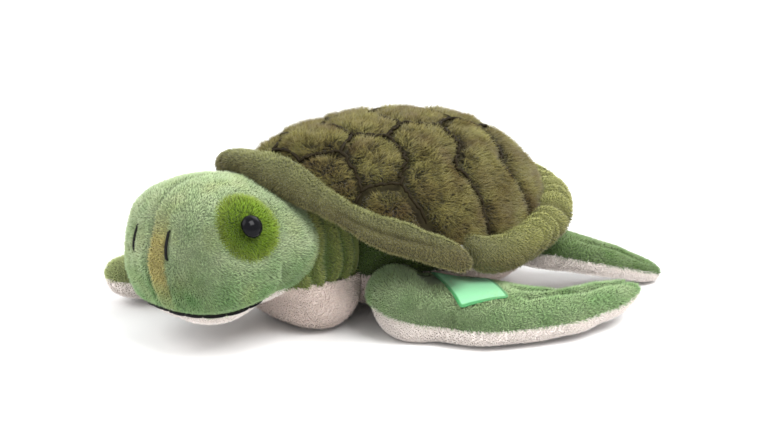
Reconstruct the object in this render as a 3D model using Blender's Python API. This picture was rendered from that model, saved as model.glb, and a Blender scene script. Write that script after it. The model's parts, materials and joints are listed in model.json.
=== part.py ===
"""A plush sea turtle: sewn covers over stuffing, a padded shell with a rolled rim, and soft limbs.

The turtle lies on its belly at Z = 0 with its head towards -Y and its left side towards +X.
Every stuffed piece is a form: a unit ball whose directions are placed on the piece's own shape. A cover is
the outer layer of its form, cut along the seams, and the filling is what lies under the covers.
"""

import math

import bmesh
import bpy
from mathutils import Matrix, Vector

MM = 0.001

# Cloth, stuffing and the gap between neighbours
PLUSH_WALL = 2.2 * MM
FUR_WALL = 3.5 * MM
LINING_WALL = 1.6 * MM
SEAM_GAP = 0.35 * MM
CUT_OVERRUN = 6 * MM
WELD_DISTANCE = 0.01 * MM

# Torso
TORSO_HALF_WIDTH = 50 * MM
TORSO_FRONT_REACH = 54 * MM
TORSO_REAR_REACH = 87 * MM
TORSO_CENTRE_HEIGHT = 34 * MM
TORSO_RISE = 34 * MM
TORSO_SINK = 1.2 * MM
TORSO_FRONT_FULLNESS = 2.2
TORSO_REAR_FULLNESS = 2.5
TORSO_REAR_DROOP = 8 * MM
BELLY_SEAM_HEIGHT = 27 * MM

# Shell and its rolled rim
SHELL_HALF_WIDTH = 78 * MM
SHELL_FRONT_REACH = 90 * MM
SHELL_REAR_REACH = 91 * MM
RIM_FRONT_HEIGHT = 89.6 * MM
RIM_SIDE_HEIGHT = 40 * MM
RIM_REAR_HEIGHT = 51 * MM
RIM_FRONT_POWER = 1.3
RIM_REAR_POWER = 1.3
RIM_FRONT_RADIUS = 6.8 * MM
RIM_SIDE_RADIUS = 8.8 * MM
RIM_REAR_RADIUS = 12 * MM
RIM_SEAM_HALF_ANGLE = math.radians(14)
RIM_CLEFT_FORWARD = 10 * MM
SHELL_TOP_HEIGHT = 103 * MM
SHELL_UNDER_HEIGHT = 38 * MM
SHELL_UNDER_POWER = 4
SHELL_EDGE_TUCK = 0.9 * MM
SHELL_FULLNESS = 0.88

# Scute lines sewn over the shell, as shares of its half width and its reach, for the left side
SCUTE_STITCH_WIDTH = 2 * MM
SCUTE_LOWEST_SHARE = 0.15
SCUTE_SPINE_SHARES = (
    (0.15, -0.74), (0.28, -0.56), (0.17, -0.40), (0.31, -0.24), (0.18, -0.06), (0.31, 0.13), (0.17, 0.31),
    (0.26, 0.46), (0.14, 0.62), (0.22, 0.80),
)
SCUTE_SIDE_SHARES = (
    ((0.28, -0.56), (0.54, -0.58), (0.62, -0.76)),
    ((0.54, -0.58), (0.65, -0.39), (0.73, -0.37), (0.88, -0.28)),
    ((0.31, -0.24), (0.56, -0.28), (0.65, -0.39)),
    ((0.31, 0.13), (0.52, 0.13), (0.66, 0.0), (0.92, 0.08)),
    ((0.26, 0.46), (0.55, 0.42), (0.62, 0.36), (0.84, 0.48)),
)

# Head, which turns on a vertical axis through its pivot
HEAD_PIVOT_FORWARD = 105 * MM
HEAD_PIVOT_HEIGHT = 49.5 * MM
HEAD_HALF_WIDTH = 48 * MM
HEAD_FRONT_REACH = 47 * MM
HEAD_HALF_HEIGHT = 32.5 * MM
MUZZLE_FULLNESS = 1.3
HEAD_TURN = math.radians(25)
MOUTH_FRONT_HEIGHT = 21 * MM
MOUTH_RISE = 16 * MM
MOUTH_CORNER_FORWARD = 108 * MM
MOUTH_STITCH_WIDTH = 1.8 * MM
NOSTRIL_SPACING = 28 * MM
NOSTRIL_LENGTH = 14 * MM
NOSTRIL_WIDTH = 1.8 * MM
NOSTRIL_HEIGHT = 58 * MM
THREAD_PROUD = 0.7 * MM

# Eyes
EYE_TURN = math.radians(18)
EYE_TILT = math.radians(28)
EYE_RADIUS = 5.25 * MM
EYE_DOME = 4 * MM
EYE_DOME_STEPS = 5
EYE_SHANK_RADIUS = 1.6 * MM
EYE_SHANK_LENGTH = 12 * MM
EYE_WASHER_RADIUS = 7.5 * MM
EYE_WASHER_THICKNESS = 1.2 * MM
EYE_WASHER_DEPTH = 5.1 * MM
EYE_FIT = 0.3 * MM
PATCH_RADIUS = 17.5 * MM

# Neck, which nods on a cross axis through its pivot
NECK_PIVOT_FORWARD = 72 * MM
NECK_PIVOT_HEIGHT = 42 * MM
NECK_RADIUS = 40.5 * MM
NECK_HALF_WIDTH = 37 * MM
NECK_FULLNESS = 2.6
THROAT_SEAM_HEIGHT = 30 * MM
JOINT_GAP = 0.7 * MM

# Front flippers, which sweep on an upright axis through the shoulder
SHOULDER_OUTSET = 8 * MM
SHOULDER_FORWARD = 20 * MM
FRONT_SEAM_HEIGHT = 11.5 * MM
FRONT_ROOT_RADIUS = 23 * MM
FRONT_RISE = 14 * MM
FRONT_SINK = 15 * MM
FRONT_TIP_CURL = 4 * MM
FRONT_CURL_POWER = 3
FRONT_LENGTH = 119 * MM
FRONT_HEADINGS = {"left": math.radians(27), "right": math.radians(-84)}
FRONT_TURNS = {"left": math.radians(78), "right": math.radians(12)}
FRONT_WIDTH_SHARES = (1.0, 1.27, 1.10, 0.88, 0.82)
FRONT_THICKNESS_SHARES = (1.0, 1.0, 0.90, 0.84, 0.66)
SECTION_FULLNESS = 2.3
TIP_ROUNDNESS = 0.4

# Hind flippers, which sweep on an upright axis through the hip
HIP_INSET = 8 * MM
HIP_BACK = 70 * MM
HIP_HEIGHT = 25 * MM
HIND_ROOT_RADIUS = 18 * MM
HIND_RISE = 9 * MM
HIND_TIP_DROOP = 22.5 * MM
HIND_DROOP_POWER = 1.3
HIND_LENGTH = 71 * MM
HIND_HEADING = math.radians(60)
HIND_TURN = math.radians(12)
HIND_WIDTH_SHARES = (1.0, 1.22, 1.20, 1.04, 0.85)
HIND_THICKNESS_SHARES = (1.0, 0.98, 0.92, 0.85, 0.80)

# Label sewn over the root of the left front flipper
LABEL_THICKNESS = 0.7 * MM
LABEL_LENGTH = 38 * MM
LABEL_WIDTH = 24 * MM
LABEL_ALONG = 15 * MM
LABEL_INWARD = 5 * MM
LABEL_TURN = math.radians(38)
LABEL_CORNER = 3 * MM

# Segments and rings of each form's ball, and steps along the rim
TORSO_FACETS = (20, 10)
SHELL_FACETS = (24, 10)
NECK_FACETS = (18, 10)
HEAD_FACETS = (20, 12)
FRONT_FACETS = (12, 12)
HIND_FACETS = (10, 10)
ROOM_FACETS = (24, 14)
POCKET_STEPS = 24
TURNED_STEPS = 12
RIM_FRONT_STEPS = 14
RIM_REAR_STEPS = 16

MIRROR = {"left": 1, "right": -1}

bpy.ops.object.select_all(action="DESELECT")
for old in list(bpy.data.objects):
    bpy.data.objects.remove(old)


def material(name, colour, roughness, metallic=0.0):
    made = bpy.data.materials.new(name)
    made.use_nodes = True
    shader = made.node_tree.nodes["Principled BSDF"]
    shader.inputs["Base Color"].default_value = (*colour, 1)
    shader.inputs["Roughness"].default_value = roughness
    shader.inputs["Metallic"].default_value = metallic
    made.diffuse_color = (*colour, 1)
    return made


GREEN = material("green_plush", (0.19, 0.35, 0.12), 0.95)
WHITE = material("white_plush", (0.72, 0.66, 0.62), 0.95)
FUR = material("shell_fur", (0.16, 0.15, 0.05), 1.0)
OLIVE = material("olive_plush", (0.20, 0.21, 0.08), 0.95)
LIME = material("lime_plush", (0.24, 0.34, 0.02), 0.95)
WADDING = material("wadding", (0.85, 0.85, 0.83), 1.0)
THREAD = material("black_thread", (0.015, 0.015, 0.015), 0.7)
SCUTE_THREAD = material("brown_thread", (0.045, 0.035, 0.015), 0.9)
EYE_BLACK = material("eye_black", (0.01, 0.01, 0.012), 0.08)
WASHER_WHITE = material("washer_white", (0.8, 0.8, 0.78), 0.4)
SATIN = material("green_satin", (0.28, 0.80, 0.42), 0.35)


def smooth_step(share):
    return share * share * (3 - 2 * share)


def along_table(shares, at):
    """The value at a place from 0 to 1 of a table of evenly spaced shares, eased between its entries."""
    spans = len(shares) - 1
    index = min(int(at * spans), spans - 1)
    ease = smooth_step(at * spans - index)
    return shares[index] + (shares[index + 1] - shares[index]) * ease


def norm_of(direction, power):
    return sum(abs(value) ** power for value in direction) ** (1 / power)


def on_floor(point, grow):
    """Flattens a form where the turtle lies on the floor, with the cover's layers kept apart there."""
    point.z = max(point.z, -grow, 0)
    return point


# Places of the forms: each takes a unit direction and how far the form is grown


def torso_place(direction, grow):
    fullness = TORSO_FRONT_FULLNESS if direction[1] < 0 else TORSO_REAR_FULLNESS
    x, y, z = Vector(direction) / norm_of(direction, fullness)
    reach = TORSO_FRONT_REACH if y < 0 else TORSO_REAR_REACH
    drop = TORSO_CENTRE_HEIGHT + TORSO_SINK if z < 0 else TORSO_RISE
    height = TORSO_CENTRE_HEIGHT + (drop + grow) * z - TORSO_REAR_DROOP * max(0, y) ** 2
    return on_floor(Vector(((TORSO_HALF_WIDTH + grow) * x, (reach + grow) * y, height)), grow)


def head_place(direction, grow):
    ahead = max(0, -direction[1])
    power = 2 + MUZZLE_FULLNESS * 4 * ahead * (1 - ahead)
    x, y, z = Vector(direction) / norm_of(direction, power)
    reach = HEAD_FRONT_REACH if y < 0 else HEAD_HALF_WIDTH
    return Vector((
        (HEAD_HALF_WIDTH + grow) * x,
        (reach + grow) * y - HEAD_PIVOT_FORWARD,
        (HEAD_HALF_HEIGHT + grow) * z + HEAD_PIVOT_HEIGHT,
    ))


def turned_head_place(direction, grow):
    """The room that the head sweeps as it turns to either side."""
    pivot = Vector((0, -HEAD_PIVOT_FORWARD, HEAD_PIVOT_HEIGHT))
    reaches = []
    for share in (-1, -0.5, 0, 0.5, 1):
        turn = Matrix.Rotation(share * HEAD_TURN, 3, "Z")
        reaches.append(turn @ (head_place(turn.inverted() @ Vector(direction), grow) - pivot))
    return pivot + max(reaches, key=lambda reach: reach.length)


def neck_place(direction, grow):
    """A form turned about its nodding axis, so that the neck rolls in the torso's pocket."""
    across, around = abs(direction[0]), math.hypot(direction[1], direction[2])
    x, y, z = Vector(direction) / (across**NECK_FULLNESS + around**NECK_FULLNESS) ** (1 / NECK_FULLNESS)
    return Vector((
        (NECK_HALF_WIDTH + grow) * x,
        (NECK_RADIUS + grow) * y - NECK_PIVOT_FORWARD,
        (NECK_RADIUS + grow) * z + NECK_PIVOT_HEIGHT,
    ))


def rim_height(y):
    """The height of the shell's edge, which drapes low at the sides and rides up at both ends."""
    if y < 0:
        lift, share, power = RIM_FRONT_HEIGHT, -y / SHELL_FRONT_REACH, RIM_FRONT_POWER
    else:
        lift, share, power = RIM_REAR_HEIGHT, y / SHELL_REAR_REACH, RIM_REAR_POWER
    return RIM_SIDE_HEIGHT + (lift - RIM_SIDE_HEIGHT) * min(1, share) ** power


def rim_radius(y):
    if y < 0:
        return RIM_SIDE_RADIUS + (RIM_FRONT_RADIUS - RIM_SIDE_RADIUS) * min(1, -y / SHELL_FRONT_REACH)
    return RIM_SIDE_RADIUS + (RIM_REAR_RADIUS - RIM_SIDE_RADIUS) * min(1, y / SHELL_REAR_REACH)


def rim_point(x, y):
    """The rim's centre line in the plan direction (x, y), and the outward direction there."""
    reach = SHELL_FRONT_REACH if y < 0 else SHELL_REAR_REACH
    centre = Vector((SHELL_HALF_WIDTH * x, reach * y, 0))
    outward = Vector((x / SHELL_HALF_WIDTH, y / reach, 0)).normalized()
    centre.z = rim_height(centre.y)
    return centre, outward


def shell_place(direction, grow):
    """The shell over its wadding: a dome above its edge, and below it a hollow that clears the neck."""
    x, y, z = direction
    across = math.hypot(x, y)
    if across < 1e-6:
        return Vector((0, 0, SHELL_TOP_HEIGHT + grow if z > 0 else SHELL_UNDER_HEIGHT))
    centre, outward = rim_point(x / across, y / across)
    inset = grow * min(1, max(0, 1 + 2 * z))
    edge = centre - outward * (rim_radius(centre.y) + SHELL_EDGE_TUCK - inset)
    base = centre.z + LINING_WALL + SEAM_GAP
    if z >= 0:
        spread = across**SHELL_FULLNESS
        height = base + (SHELL_TOP_HEIGHT + grow - base) * z
    else:
        spread = across
        height = base + (SHELL_UNDER_HEIGHT - base) * (1 - across * across) ** SHELL_UNDER_POWER
    return Vector((edge.x * spread, edge.y * spread, height))


def lining_place(direction, grow):
    """The lining lies along the underside of the wadding, with its thickness upright."""
    return shell_place(direction, 0) - Vector((0, 0, SEAM_GAP + LINING_WALL + grow))


class Flipper:
    """A limb whose root is turned about its joint, and which swells, curves and thins towards the tip."""

    def __init__(self, joint, heading, turn, length, root, rise, sink, curl, curl_power, shares):
        self.joint, self.length, self.turn = Vector(joint), length, turn
        self.root, self.rise, self.sink, self.curl, self.curl_power = root, rise, sink, curl, curl_power
        self.width_shares, self.thickness_shares = shares
        self.ahead = Vector((math.cos(heading), math.sin(heading), 0))
        self.level = Vector((self.ahead.y, -self.ahead.x, 0))

    def at(self, share, grow=0):
        """The centre line at a share of the length, and the sideways direction there."""
        reach = self.length + grow
        angle = self.turn * share
        along = reach / self.turn * math.sin(angle)
        aside = -reach / self.turn * (1 - math.cos(angle))
        point = self.joint + self.ahead * along + self.level * aside
        point.z += self.curl * share**self.curl_power
        return point, self.level * math.cos(angle) + self.ahead * math.sin(angle)

    def place(self, direction, grow):
        aside, ahead, up = direction
        drop = self.rise if up > 0 else self.sink
        if ahead < 0:
            full = 1 / norm_of((math.hypot(aside, ahead), up), SECTION_FULLNESS)
            point = self.joint + (self.level * aside + self.ahead * ahead) * (self.root + grow) * full
            point.z += (drop + grow) * up * full
        else:
            point, sideways = self.at(ahead, grow)
            ring = math.sqrt(max(0, 1 - ahead * ahead))
            full = ring ** (1 - TIP_ROUNDNESS * ahead) / max(norm_of((aside, up), SECTION_FULLNESS), 1e-9)
            point += sideways * (self.root + grow) * along_table(self.width_shares, ahead) * aside * full
            point.z += (drop + grow) * along_table(self.thickness_shares, ahead) * up * full
        return on_floor(point, grow)


def front_flipper(side):
    return Flipper(
        joint=(TORSO_HALF_WIDTH + SHOULDER_OUTSET, -SHOULDER_FORWARD, FRONT_SEAM_HEIGHT),
        heading=FRONT_HEADINGS[side],
        turn=FRONT_TURNS[side],
        length=FRONT_LENGTH,
        root=FRONT_ROOT_RADIUS,
        rise=FRONT_RISE,
        sink=FRONT_SINK,
        curl=FRONT_TIP_CURL,
        curl_power=FRONT_CURL_POWER,
        shares=(FRONT_WIDTH_SHARES, FRONT_THICKNESS_SHARES),
    )


def hind_flipper():
    return Flipper(
        joint=(TORSO_HALF_WIDTH - HIP_INSET, HIP_BACK, HIP_HEIGHT),
        heading=HIND_HEADING,
        turn=HIND_TURN,
        length=HIND_LENGTH,
        root=HIND_ROOT_RADIUS,
        rise=HIND_RISE,
        sink=HIND_RISE,
        curl=-HIND_TIP_DROOP,
        curl_power=HIND_DROOP_POWER,
        shares=(HIND_WIDTH_SHARES, HIND_THICKNESS_SHARES),
    )


def mirrored(place, side):
    """The same form on the other side of the turtle."""
    if MIRROR[side] > 0:
        return place
    return lambda direction, grow: place(direction, grow) * Vector((-1, 1, 1))


# Making objects


def finish_object(name, mesh_data, surface):
    made = bpy.data.objects.new(name, mesh_data)
    bpy.context.scene.collection.objects.link(made)
    if surface is None:
        made.hide_render = True
        made.display_type = "WIRE"
    else:
        mesh_data.materials.append(surface)
        mesh_data.shade_smooth()
        mesh_data.set_sharp_from_angle(angle=math.radians(50))
    return made


def to_object(name, shape, surface):
    bmesh.ops.recalc_face_normals(shape, faces=shape.faces[:])
    if shape.calc_volume(signed=True) < 0:
        bmesh.ops.reverse_faces(shape, faces=shape.faces[:])
    mesh_data = bpy.data.meshes.new(name)
    shape.to_mesh(mesh_data)
    shape.free()
    return finish_object(name, mesh_data, surface)


def unit_ball(segments, rings, poles):
    """A ball of radius 1 with its poles on the X, Y or Z axis."""
    turn = {
        "X": Matrix.Rotation(math.radians(90), 4, "Y"),
        "Y": Matrix.Rotation(math.radians(-90), 4, "X"),
        "Z": Matrix.Identity(4),
    }
    shape = bmesh.new()
    bmesh.ops.create_uvsphere(shape, u_segments=segments, v_segments=rings, radius=1, matrix=turn[poles])
    bmesh.ops.triangulate(shape, faces=shape.faces[:], quad_method="FIXED")
    return shape


def whole_form(name, place, grow, facets, poles, surface=None):
    """A closed solid of a form, grown or shrunk: a filling, or a cutter if it has no surface."""
    shape = unit_ball(*facets, poles)
    for vertex in shape.verts:
        vertex.co = place(vertex.co.normalized(), grow)
    return to_object(name, shape, surface)


def cover_form(name, place, wall, facets, poles, seams, surface):
    """A sewn cover: the outer layer of a form, cut by seams that are planes through the unit ball."""
    shape = unit_ball(*facets, poles)
    outside = shape.verts.layers.float_vector.new("outside")
    inside = shape.verts.layers.float_vector.new("inside")
    for vertex in shape.verts:
        vertex[outside] = place(vertex.co.normalized(), 0)
        vertex[inside] = place(vertex.co.normalized(), -wall)
    for point, normal in seams:
        bmesh.ops.bisect_plane(
            shape,
            geom=shape.verts[:] + shape.edges[:] + shape.faces[:],
            plane_co=point,
            plane_no=normal,
            dist=1e-5,
            clear_inner=True,
        )
    lining = bmesh.ops.extrude_face_region(shape, geom=shape.faces[:])
    inner = {item for item in lining["geom"] if isinstance(item, bmesh.types.BMVert)}
    for vertex in shape.verts:
        vertex.co = vertex[inside] if vertex in inner else vertex[outside]
    shape.verts.layers.float_vector.remove(outside)
    shape.verts.layers.float_vector.remove(inside)
    return to_object(name, shape, surface)


def boolean(target, cutter, operation):
    step = target.modifiers.new(f"{operation.lower()}_{cutter.name}", "BOOLEAN")
    step.operation = operation
    step.object = cutter
    step.solver = "EXACT"
    return step


def cut(target, *cutters):
    for cutter in cutters:
        boolean(target, cutter, "DIFFERENCE")


def keep(target, *cutters):
    for cutter in cutters:
        boolean(target, cutter, "INTERSECT")


def half_gap(size):
    """Half the seam gap, as a share of a form's size."""
    return SEAM_GAP / 2 / size


# Torso


def pocket_cutters():
    """The rooms that the neck and the limbs turn in."""
    cutters = [whole_form("cutter_neck_room", neck_place, JOINT_GAP, ROOM_FACETS, "X")]
    for side, sign in MIRROR.items():
        for end, limb in (("front", front_flipper(side)), ("hind", hind_flipper())):
            room = bmesh.new()
            bmesh.ops.create_cone(
                room,
                cap_ends=True,
                segments=POCKET_STEPS,
                radius1=limb.root + JOINT_GAP,
                radius2=limb.root + JOINT_GAP,
                depth=2 * (limb.joint.z + limb.rise + JOINT_GAP),
                matrix=Matrix.Translation((sign * limb.joint.x, limb.joint.y, 0)),
            )
            cutters.append(to_object(f"cutter_{end}_{side}_root_room", room, None))
    return cutters


def make_torso(rooms):
    belly_seam = (BELLY_SEAM_HEIGHT - TORSO_CENTRE_HEIGHT) / (TORSO_CENTRE_HEIGHT + TORSO_SINK)
    gap = half_gap(TORSO_CENTRE_HEIGHT)
    back_seam = ((0, 0, belly_seam + gap), (0, 0, 1))
    front_seam = ((0, 0, belly_seam - gap), (0, 0, -1))
    back = cover_form("torso_back_cover", torso_place, PLUSH_WALL, TORSO_FACETS, "Z", [back_seam], GREEN)
    belly = cover_form("belly_cover", torso_place, PLUSH_WALL, TORSO_FACETS, "Z", [front_seam], WHITE)
    filling = whole_form("torso_filling", torso_place, -PLUSH_WALL - SEAM_GAP, TORSO_FACETS, "Z", WADDING)
    for piece in (back, belly, filling):
        cut(piece, *rooms)


# Shell


def make_shell():
    torso_room = whole_form("cutter_torso_room", torso_place, SEAM_GAP, TORSO_FACETS, "Z")
    upper, lower = [((0, 0, 0), (0, 0, 1))], [((0, 0, 0), (0, 0, -1))]
    cover_form("shell_fur_cover", shell_place, FUR_WALL, SHELL_FACETS, "Z", upper, FUR)
    lining = cover_form("shell_lining", lining_place, LINING_WALL, SHELL_FACETS, "Z", lower, OLIVE)
    wadding = whole_form("shell_wadding", shell_place, -FUR_WALL - SEAM_GAP, SHELL_FACETS, "Z", WADDING)
    for piece in (lining, wadding):
        cut(piece, torso_room)


def scute_strips():
    """Upright strips over the plan of the scute lines, with a strip across the spine at each narrow place."""
    strips = bmesh.new()
    lines = [SCUTE_SPINE_SHARES, *SCUTE_SIDE_SHARES]
    lines += [[(-x, y) for x, y in line] for line in lines]
    lines += [((-x, y), (x, y)) for x, y in SCUTE_SPINE_SHARES[::2]]
    for line in lines:
        ends = [
            Vector((x * SHELL_HALF_WIDTH, y * (SHELL_FRONT_REACH if y < 0 else SHELL_REAR_REACH), 0))
            for x, y in line
        ]
        for start, end in zip(ends, ends[1:]):
            run = end - start
            size = (run.length + SCUTE_STITCH_WIDTH, SCUTE_STITCH_WIDTH, 2 * (SHELL_TOP_HEIGHT + CUT_OVERRUN))
            turn = Matrix.Rotation(math.atan2(run.y, run.x), 4, "Z")
            place = Matrix.Translation((start + end) / 2) @ turn @ Matrix.Diagonal((*size, 1))
            bmesh.ops.create_cube(strips, size=1, matrix=place)
    return to_object("cutter_scute_strips", strips, None)


def make_scute_stitches():
    """Thread lines that lie on the fur, cut from a thin layer over the dome."""
    def over_fur(direction, grow):
        return shell_place(direction, SEAM_GAP + THREAD_PROUD + grow)

    above_rim = [((0, 0, SCUTE_LOWEST_SHARE), (0, 0, 1))]
    stitches = cover_form(
        "scute_stitches", over_fur, THREAD_PROUD, SHELL_FACETS, "Z", above_rim, SCUTE_THREAD
    )
    boolean(stitches, scute_strips(), "INTERSECT").use_self = True


def rim_section(outer, inner):
    """The rim's cross section at a radius of 1, open towards the shell where it is sewn in."""
    steps = 8
    span = 2 * (math.pi - RIM_SEAM_HALF_ANGLE)
    angles = [span * (step / steps - 0.5) for step in range(steps + 1)]
    ring = [(outer, angle) for angle in angles]
    if inner:
        ring += [(inner, angle) for angle in reversed(angles)]
    shape = bmesh.new()
    shape.faces.new([shape.verts.new((1 + reach * math.cos(a), 0, reach * math.sin(a))) for reach, a in ring])
    return shape


def sweep_rim(name, outer_share, inner_share, start, span, steps, surface):
    """Spins the section round part of a ring of radius 1, then lays it along the rim's centre line."""
    unit = 0.1
    shape = rim_section(unit * outer_share, unit * inner_share)
    bmesh.ops.rotate(shape, verts=shape.verts[:], cent=(0, 0, 0), matrix=Matrix.Rotation(start, 3, "Z"))
    bmesh.ops.spin(shape, geom=shape.faces[:], cent=(0, 0, 0), axis=(0, 0, 1), angle=span, steps=steps)
    for vertex in shape.verts:
        x, y, z = vertex.co
        across = math.hypot(x, y)
        centre, outward = rim_point(x / across, y / across)
        radius = rim_radius(centre.y) / unit
        vertex.co = centre + outward * (across - 1) * radius + Vector((0, 0, z * radius))
    return to_object(name, shape, surface)


def make_rim():
    """A front and a rear roll that meet in a cleft on each side."""
    wall_share = 1 - PLUSH_WALL / RIM_FRONT_RADIUS
    core_share = wall_share - SEAM_GAP / RIM_FRONT_RADIUS
    cleft = math.asin(RIM_CLEFT_FORWARD / SHELL_FRONT_REACH)
    gap = SEAM_GAP / SHELL_HALF_WIDTH
    arcs = {
        "front": (math.pi + cleft + gap / 2, math.pi - 2 * cleft - gap, RIM_FRONT_STEPS),
        "rear": (-cleft + gap / 2, math.pi + 2 * cleft - gap, RIM_REAR_STEPS),
    }
    for end, arc in arcs.items():
        sweep_rim(f"rim_{end}_cover", 1, wall_share, *arc, OLIVE)
        sweep_rim(f"rim_{end}_wadding", core_share, 0, *arc, WADDING)


# Neck


def make_neck():
    head_room = whole_form("cutter_head_room", turned_head_place, JOINT_GAP, ROOM_FACETS, "Z")
    seam = (THROAT_SEAM_HEIGHT - NECK_PIVOT_HEIGHT) / NECK_RADIUS
    gap = half_gap(NECK_RADIUS)
    above, below = [((0, 0, seam + gap), (0, 0, 1))], [((0, 0, seam - gap), (0, 0, -1))]
    nape = cover_form("neck_cover", neck_place, PLUSH_WALL, NECK_FACETS, "X", above, GREEN)
    throat = cover_form("throat_cover", neck_place, PLUSH_WALL, NECK_FACETS, "X", below, WHITE)
    filling = whole_form("neck_filling", neck_place, -PLUSH_WALL - SEAM_GAP, NECK_FACETS, "X", WADDING)
    for piece in (nape, throat, filling):
        cut(piece, head_room)


# Head


def mouth_height(y):
    """The jaw seam rises from the front of the mouth towards the back of the head."""
    nose = -HEAD_PIVOT_FORWARD - HEAD_FRONT_REACH
    return MOUTH_FRONT_HEIGHT + MOUTH_RISE * (y - nose) / (HEAD_FRONT_REACH + HEAD_HALF_WIDTH)


def mouth_frame():
    """A point on the jaw seam's plane and the plane's upward normal, in the room of the head's unit ball."""
    rise = MOUTH_RISE / (HEAD_FRONT_REACH + HEAD_HALF_WIDTH)
    height = (mouth_height(-HEAD_PIVOT_FORWARD) - HEAD_PIVOT_HEIGHT) / HEAD_HALF_HEIGHT
    slope = rise * HEAD_FRONT_REACH / HEAD_HALF_HEIGHT
    return Vector((0, 0, height)), Vector((0, -slope, 1)).normalized()


def make_head():
    middle, upward = mouth_frame()
    gap = half_gap(HEAD_HALF_HEIGHT)
    above, below = (middle + upward * gap, upward), (middle - upward * gap, -upward)
    for side, sign in MIRROR.items():
        centre_seam = ((sign * gap, 0, 0), (sign, 0, 0))
        cover = cover_form(
            f"head_{side}_cover", head_place, PLUSH_WALL, HEAD_FACETS, "Y", [above, centre_seam], GREEN
        )
        cut(cover, *make_eye(side))
    cover_form("jaw_cover", head_place, PLUSH_WALL, HEAD_FACETS, "Y", [below], WHITE)
    filling = whole_form("head_filling", head_place, -PLUSH_WALL - SEAM_GAP, HEAD_FACETS, "Y", WADDING)
    cut(filling, *[bpy.data.objects[f"cutter_eye_seat_{side}"] for side in MIRROR])
    make_face_stitches()


def eye_frame(side):
    """The matrix that stands an eye square on the head, with its own +Z pointing out."""
    def seat_at(turn, tilt):
        ray = Vector((math.cos(tilt) * math.cos(turn), -math.cos(tilt) * math.sin(turn), math.sin(tilt)))
        return head_place(ray, 0)

    seat = seat_at(EYE_TURN, EYE_TILT)
    step = EYE_RADIUS / HEAD_HALF_WIDTH
    forward = seat_at(EYE_TURN + step, EYE_TILT) - seat_at(EYE_TURN - step, EYE_TILT)
    upward = seat_at(EYE_TURN, EYE_TILT + step) - seat_at(EYE_TURN, EYE_TILT - step)
    outward = upward.cross(forward).normalized()
    if MIRROR[side] < 0:
        seat, outward = seat * Vector((-1, 1, 1)), outward * Vector((-1, 1, 1))
    return Matrix.Translation(seat) @ outward.to_track_quat("Z", "Y").to_matrix().to_4x4()


def turned(name, profile, frame, surface):
    """A piece turned about its own Z from a profile of (radius, height) points, stood in a frame."""
    shape = bmesh.new()
    points = [shape.verts.new((radius, 0, height)) for radius, height in profile]
    for one, two in zip(points, points[1:]):
        shape.edges.new((one, two))
    bmesh.ops.spin(
        shape,
        geom=shape.verts[:] + shape.edges[:],
        cent=(0, 0, 0),
        axis=(0, 0, 1),
        angle=2 * math.pi,
        steps=TURNED_STEPS,
        use_merge=True,
    )
    bmesh.ops.remove_doubles(shape, verts=shape.verts[:], dist=WELD_DISTANCE)
    shape.transform(frame)
    return to_object(name, shape, surface)


def round_plug(name, radius, low, high, frame):
    return turned(name, [(0, low), (radius, low), (radius, high), (0, high)], frame, None)


def make_eye(side):
    """An eye with its shank, the washer that holds it inside the head, and the round patch that it sits in.

    Returns the cutter of the patch's hole in the head's cover.
    """
    frame = eye_frame(side)
    angles = [math.radians(90) * step / EYE_DOME_STEPS for step in range(EYE_DOME_STEPS)]
    dome = [(EYE_RADIUS * math.cos(angle), EYE_DOME * math.sin(angle)) for angle in angles]
    dome.append((0, EYE_DOME))
    shank = [(0, -EYE_SHANK_LENGTH), (EYE_SHANK_RADIUS, -EYE_SHANK_LENGTH), (EYE_SHANK_RADIUS, 0)]
    turned(f"eye_{side}", shank + dome, frame, EYE_BLACK)
    bore = EYE_SHANK_RADIUS + EYE_FIT
    washer = [
        (bore, -EYE_WASHER_DEPTH),
        (EYE_WASHER_RADIUS, -EYE_WASHER_DEPTH),
        (EYE_WASHER_RADIUS, -EYE_WASHER_DEPTH - EYE_WASHER_THICKNESS),
        (bore, -EYE_WASHER_DEPTH - EYE_WASHER_THICKNESS),
        (bore, -EYE_WASHER_DEPTH),
    ]
    turned(f"eye_washer_{side}", washer, frame, WASHER_WHITE)
    round_plug(
        f"cutter_eye_seat_{side}",
        EYE_WASHER_RADIUS + EYE_FIT,
        -EYE_SHANK_LENGTH - EYE_FIT,
        CUT_OVERRUN,
        frame,
    )
    depth = PATCH_RADIUS / 2
    patch_edge = round_plug(f"cutter_patch_edge_{side}", PATCH_RADIUS, -depth, depth, frame)
    patch_hole = round_plug(f"cutter_patch_hole_{side}", PATCH_RADIUS + SEAM_GAP, -depth, depth, frame)
    bore_cutter = round_plug(f"cutter_eye_bore_{side}", bore, -depth, depth, frame)
    eye_bed = round_plug(f"cutter_eye_bed_{side}", EYE_RADIUS + EYE_FIT, -SEAM_GAP, depth, frame)
    patch = whole_form(f"eye_patch_{side}", head_place, 0, HEAD_FACETS, "Y", LIME)
    core = whole_form(f"cutter_patch_core_{side}", head_place, -PLUSH_WALL, HEAD_FACETS, "Y")
    keep(patch, patch_edge)
    cut(patch, core, bore_cutter, eye_bed)
    return [patch_hole]


def plate(name, size, frame):
    shape = bmesh.new()
    bmesh.ops.create_cube(shape, size=1, matrix=frame @ Matrix.Diagonal((*size, 1)))
    return to_object(name, shape, None)


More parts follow.
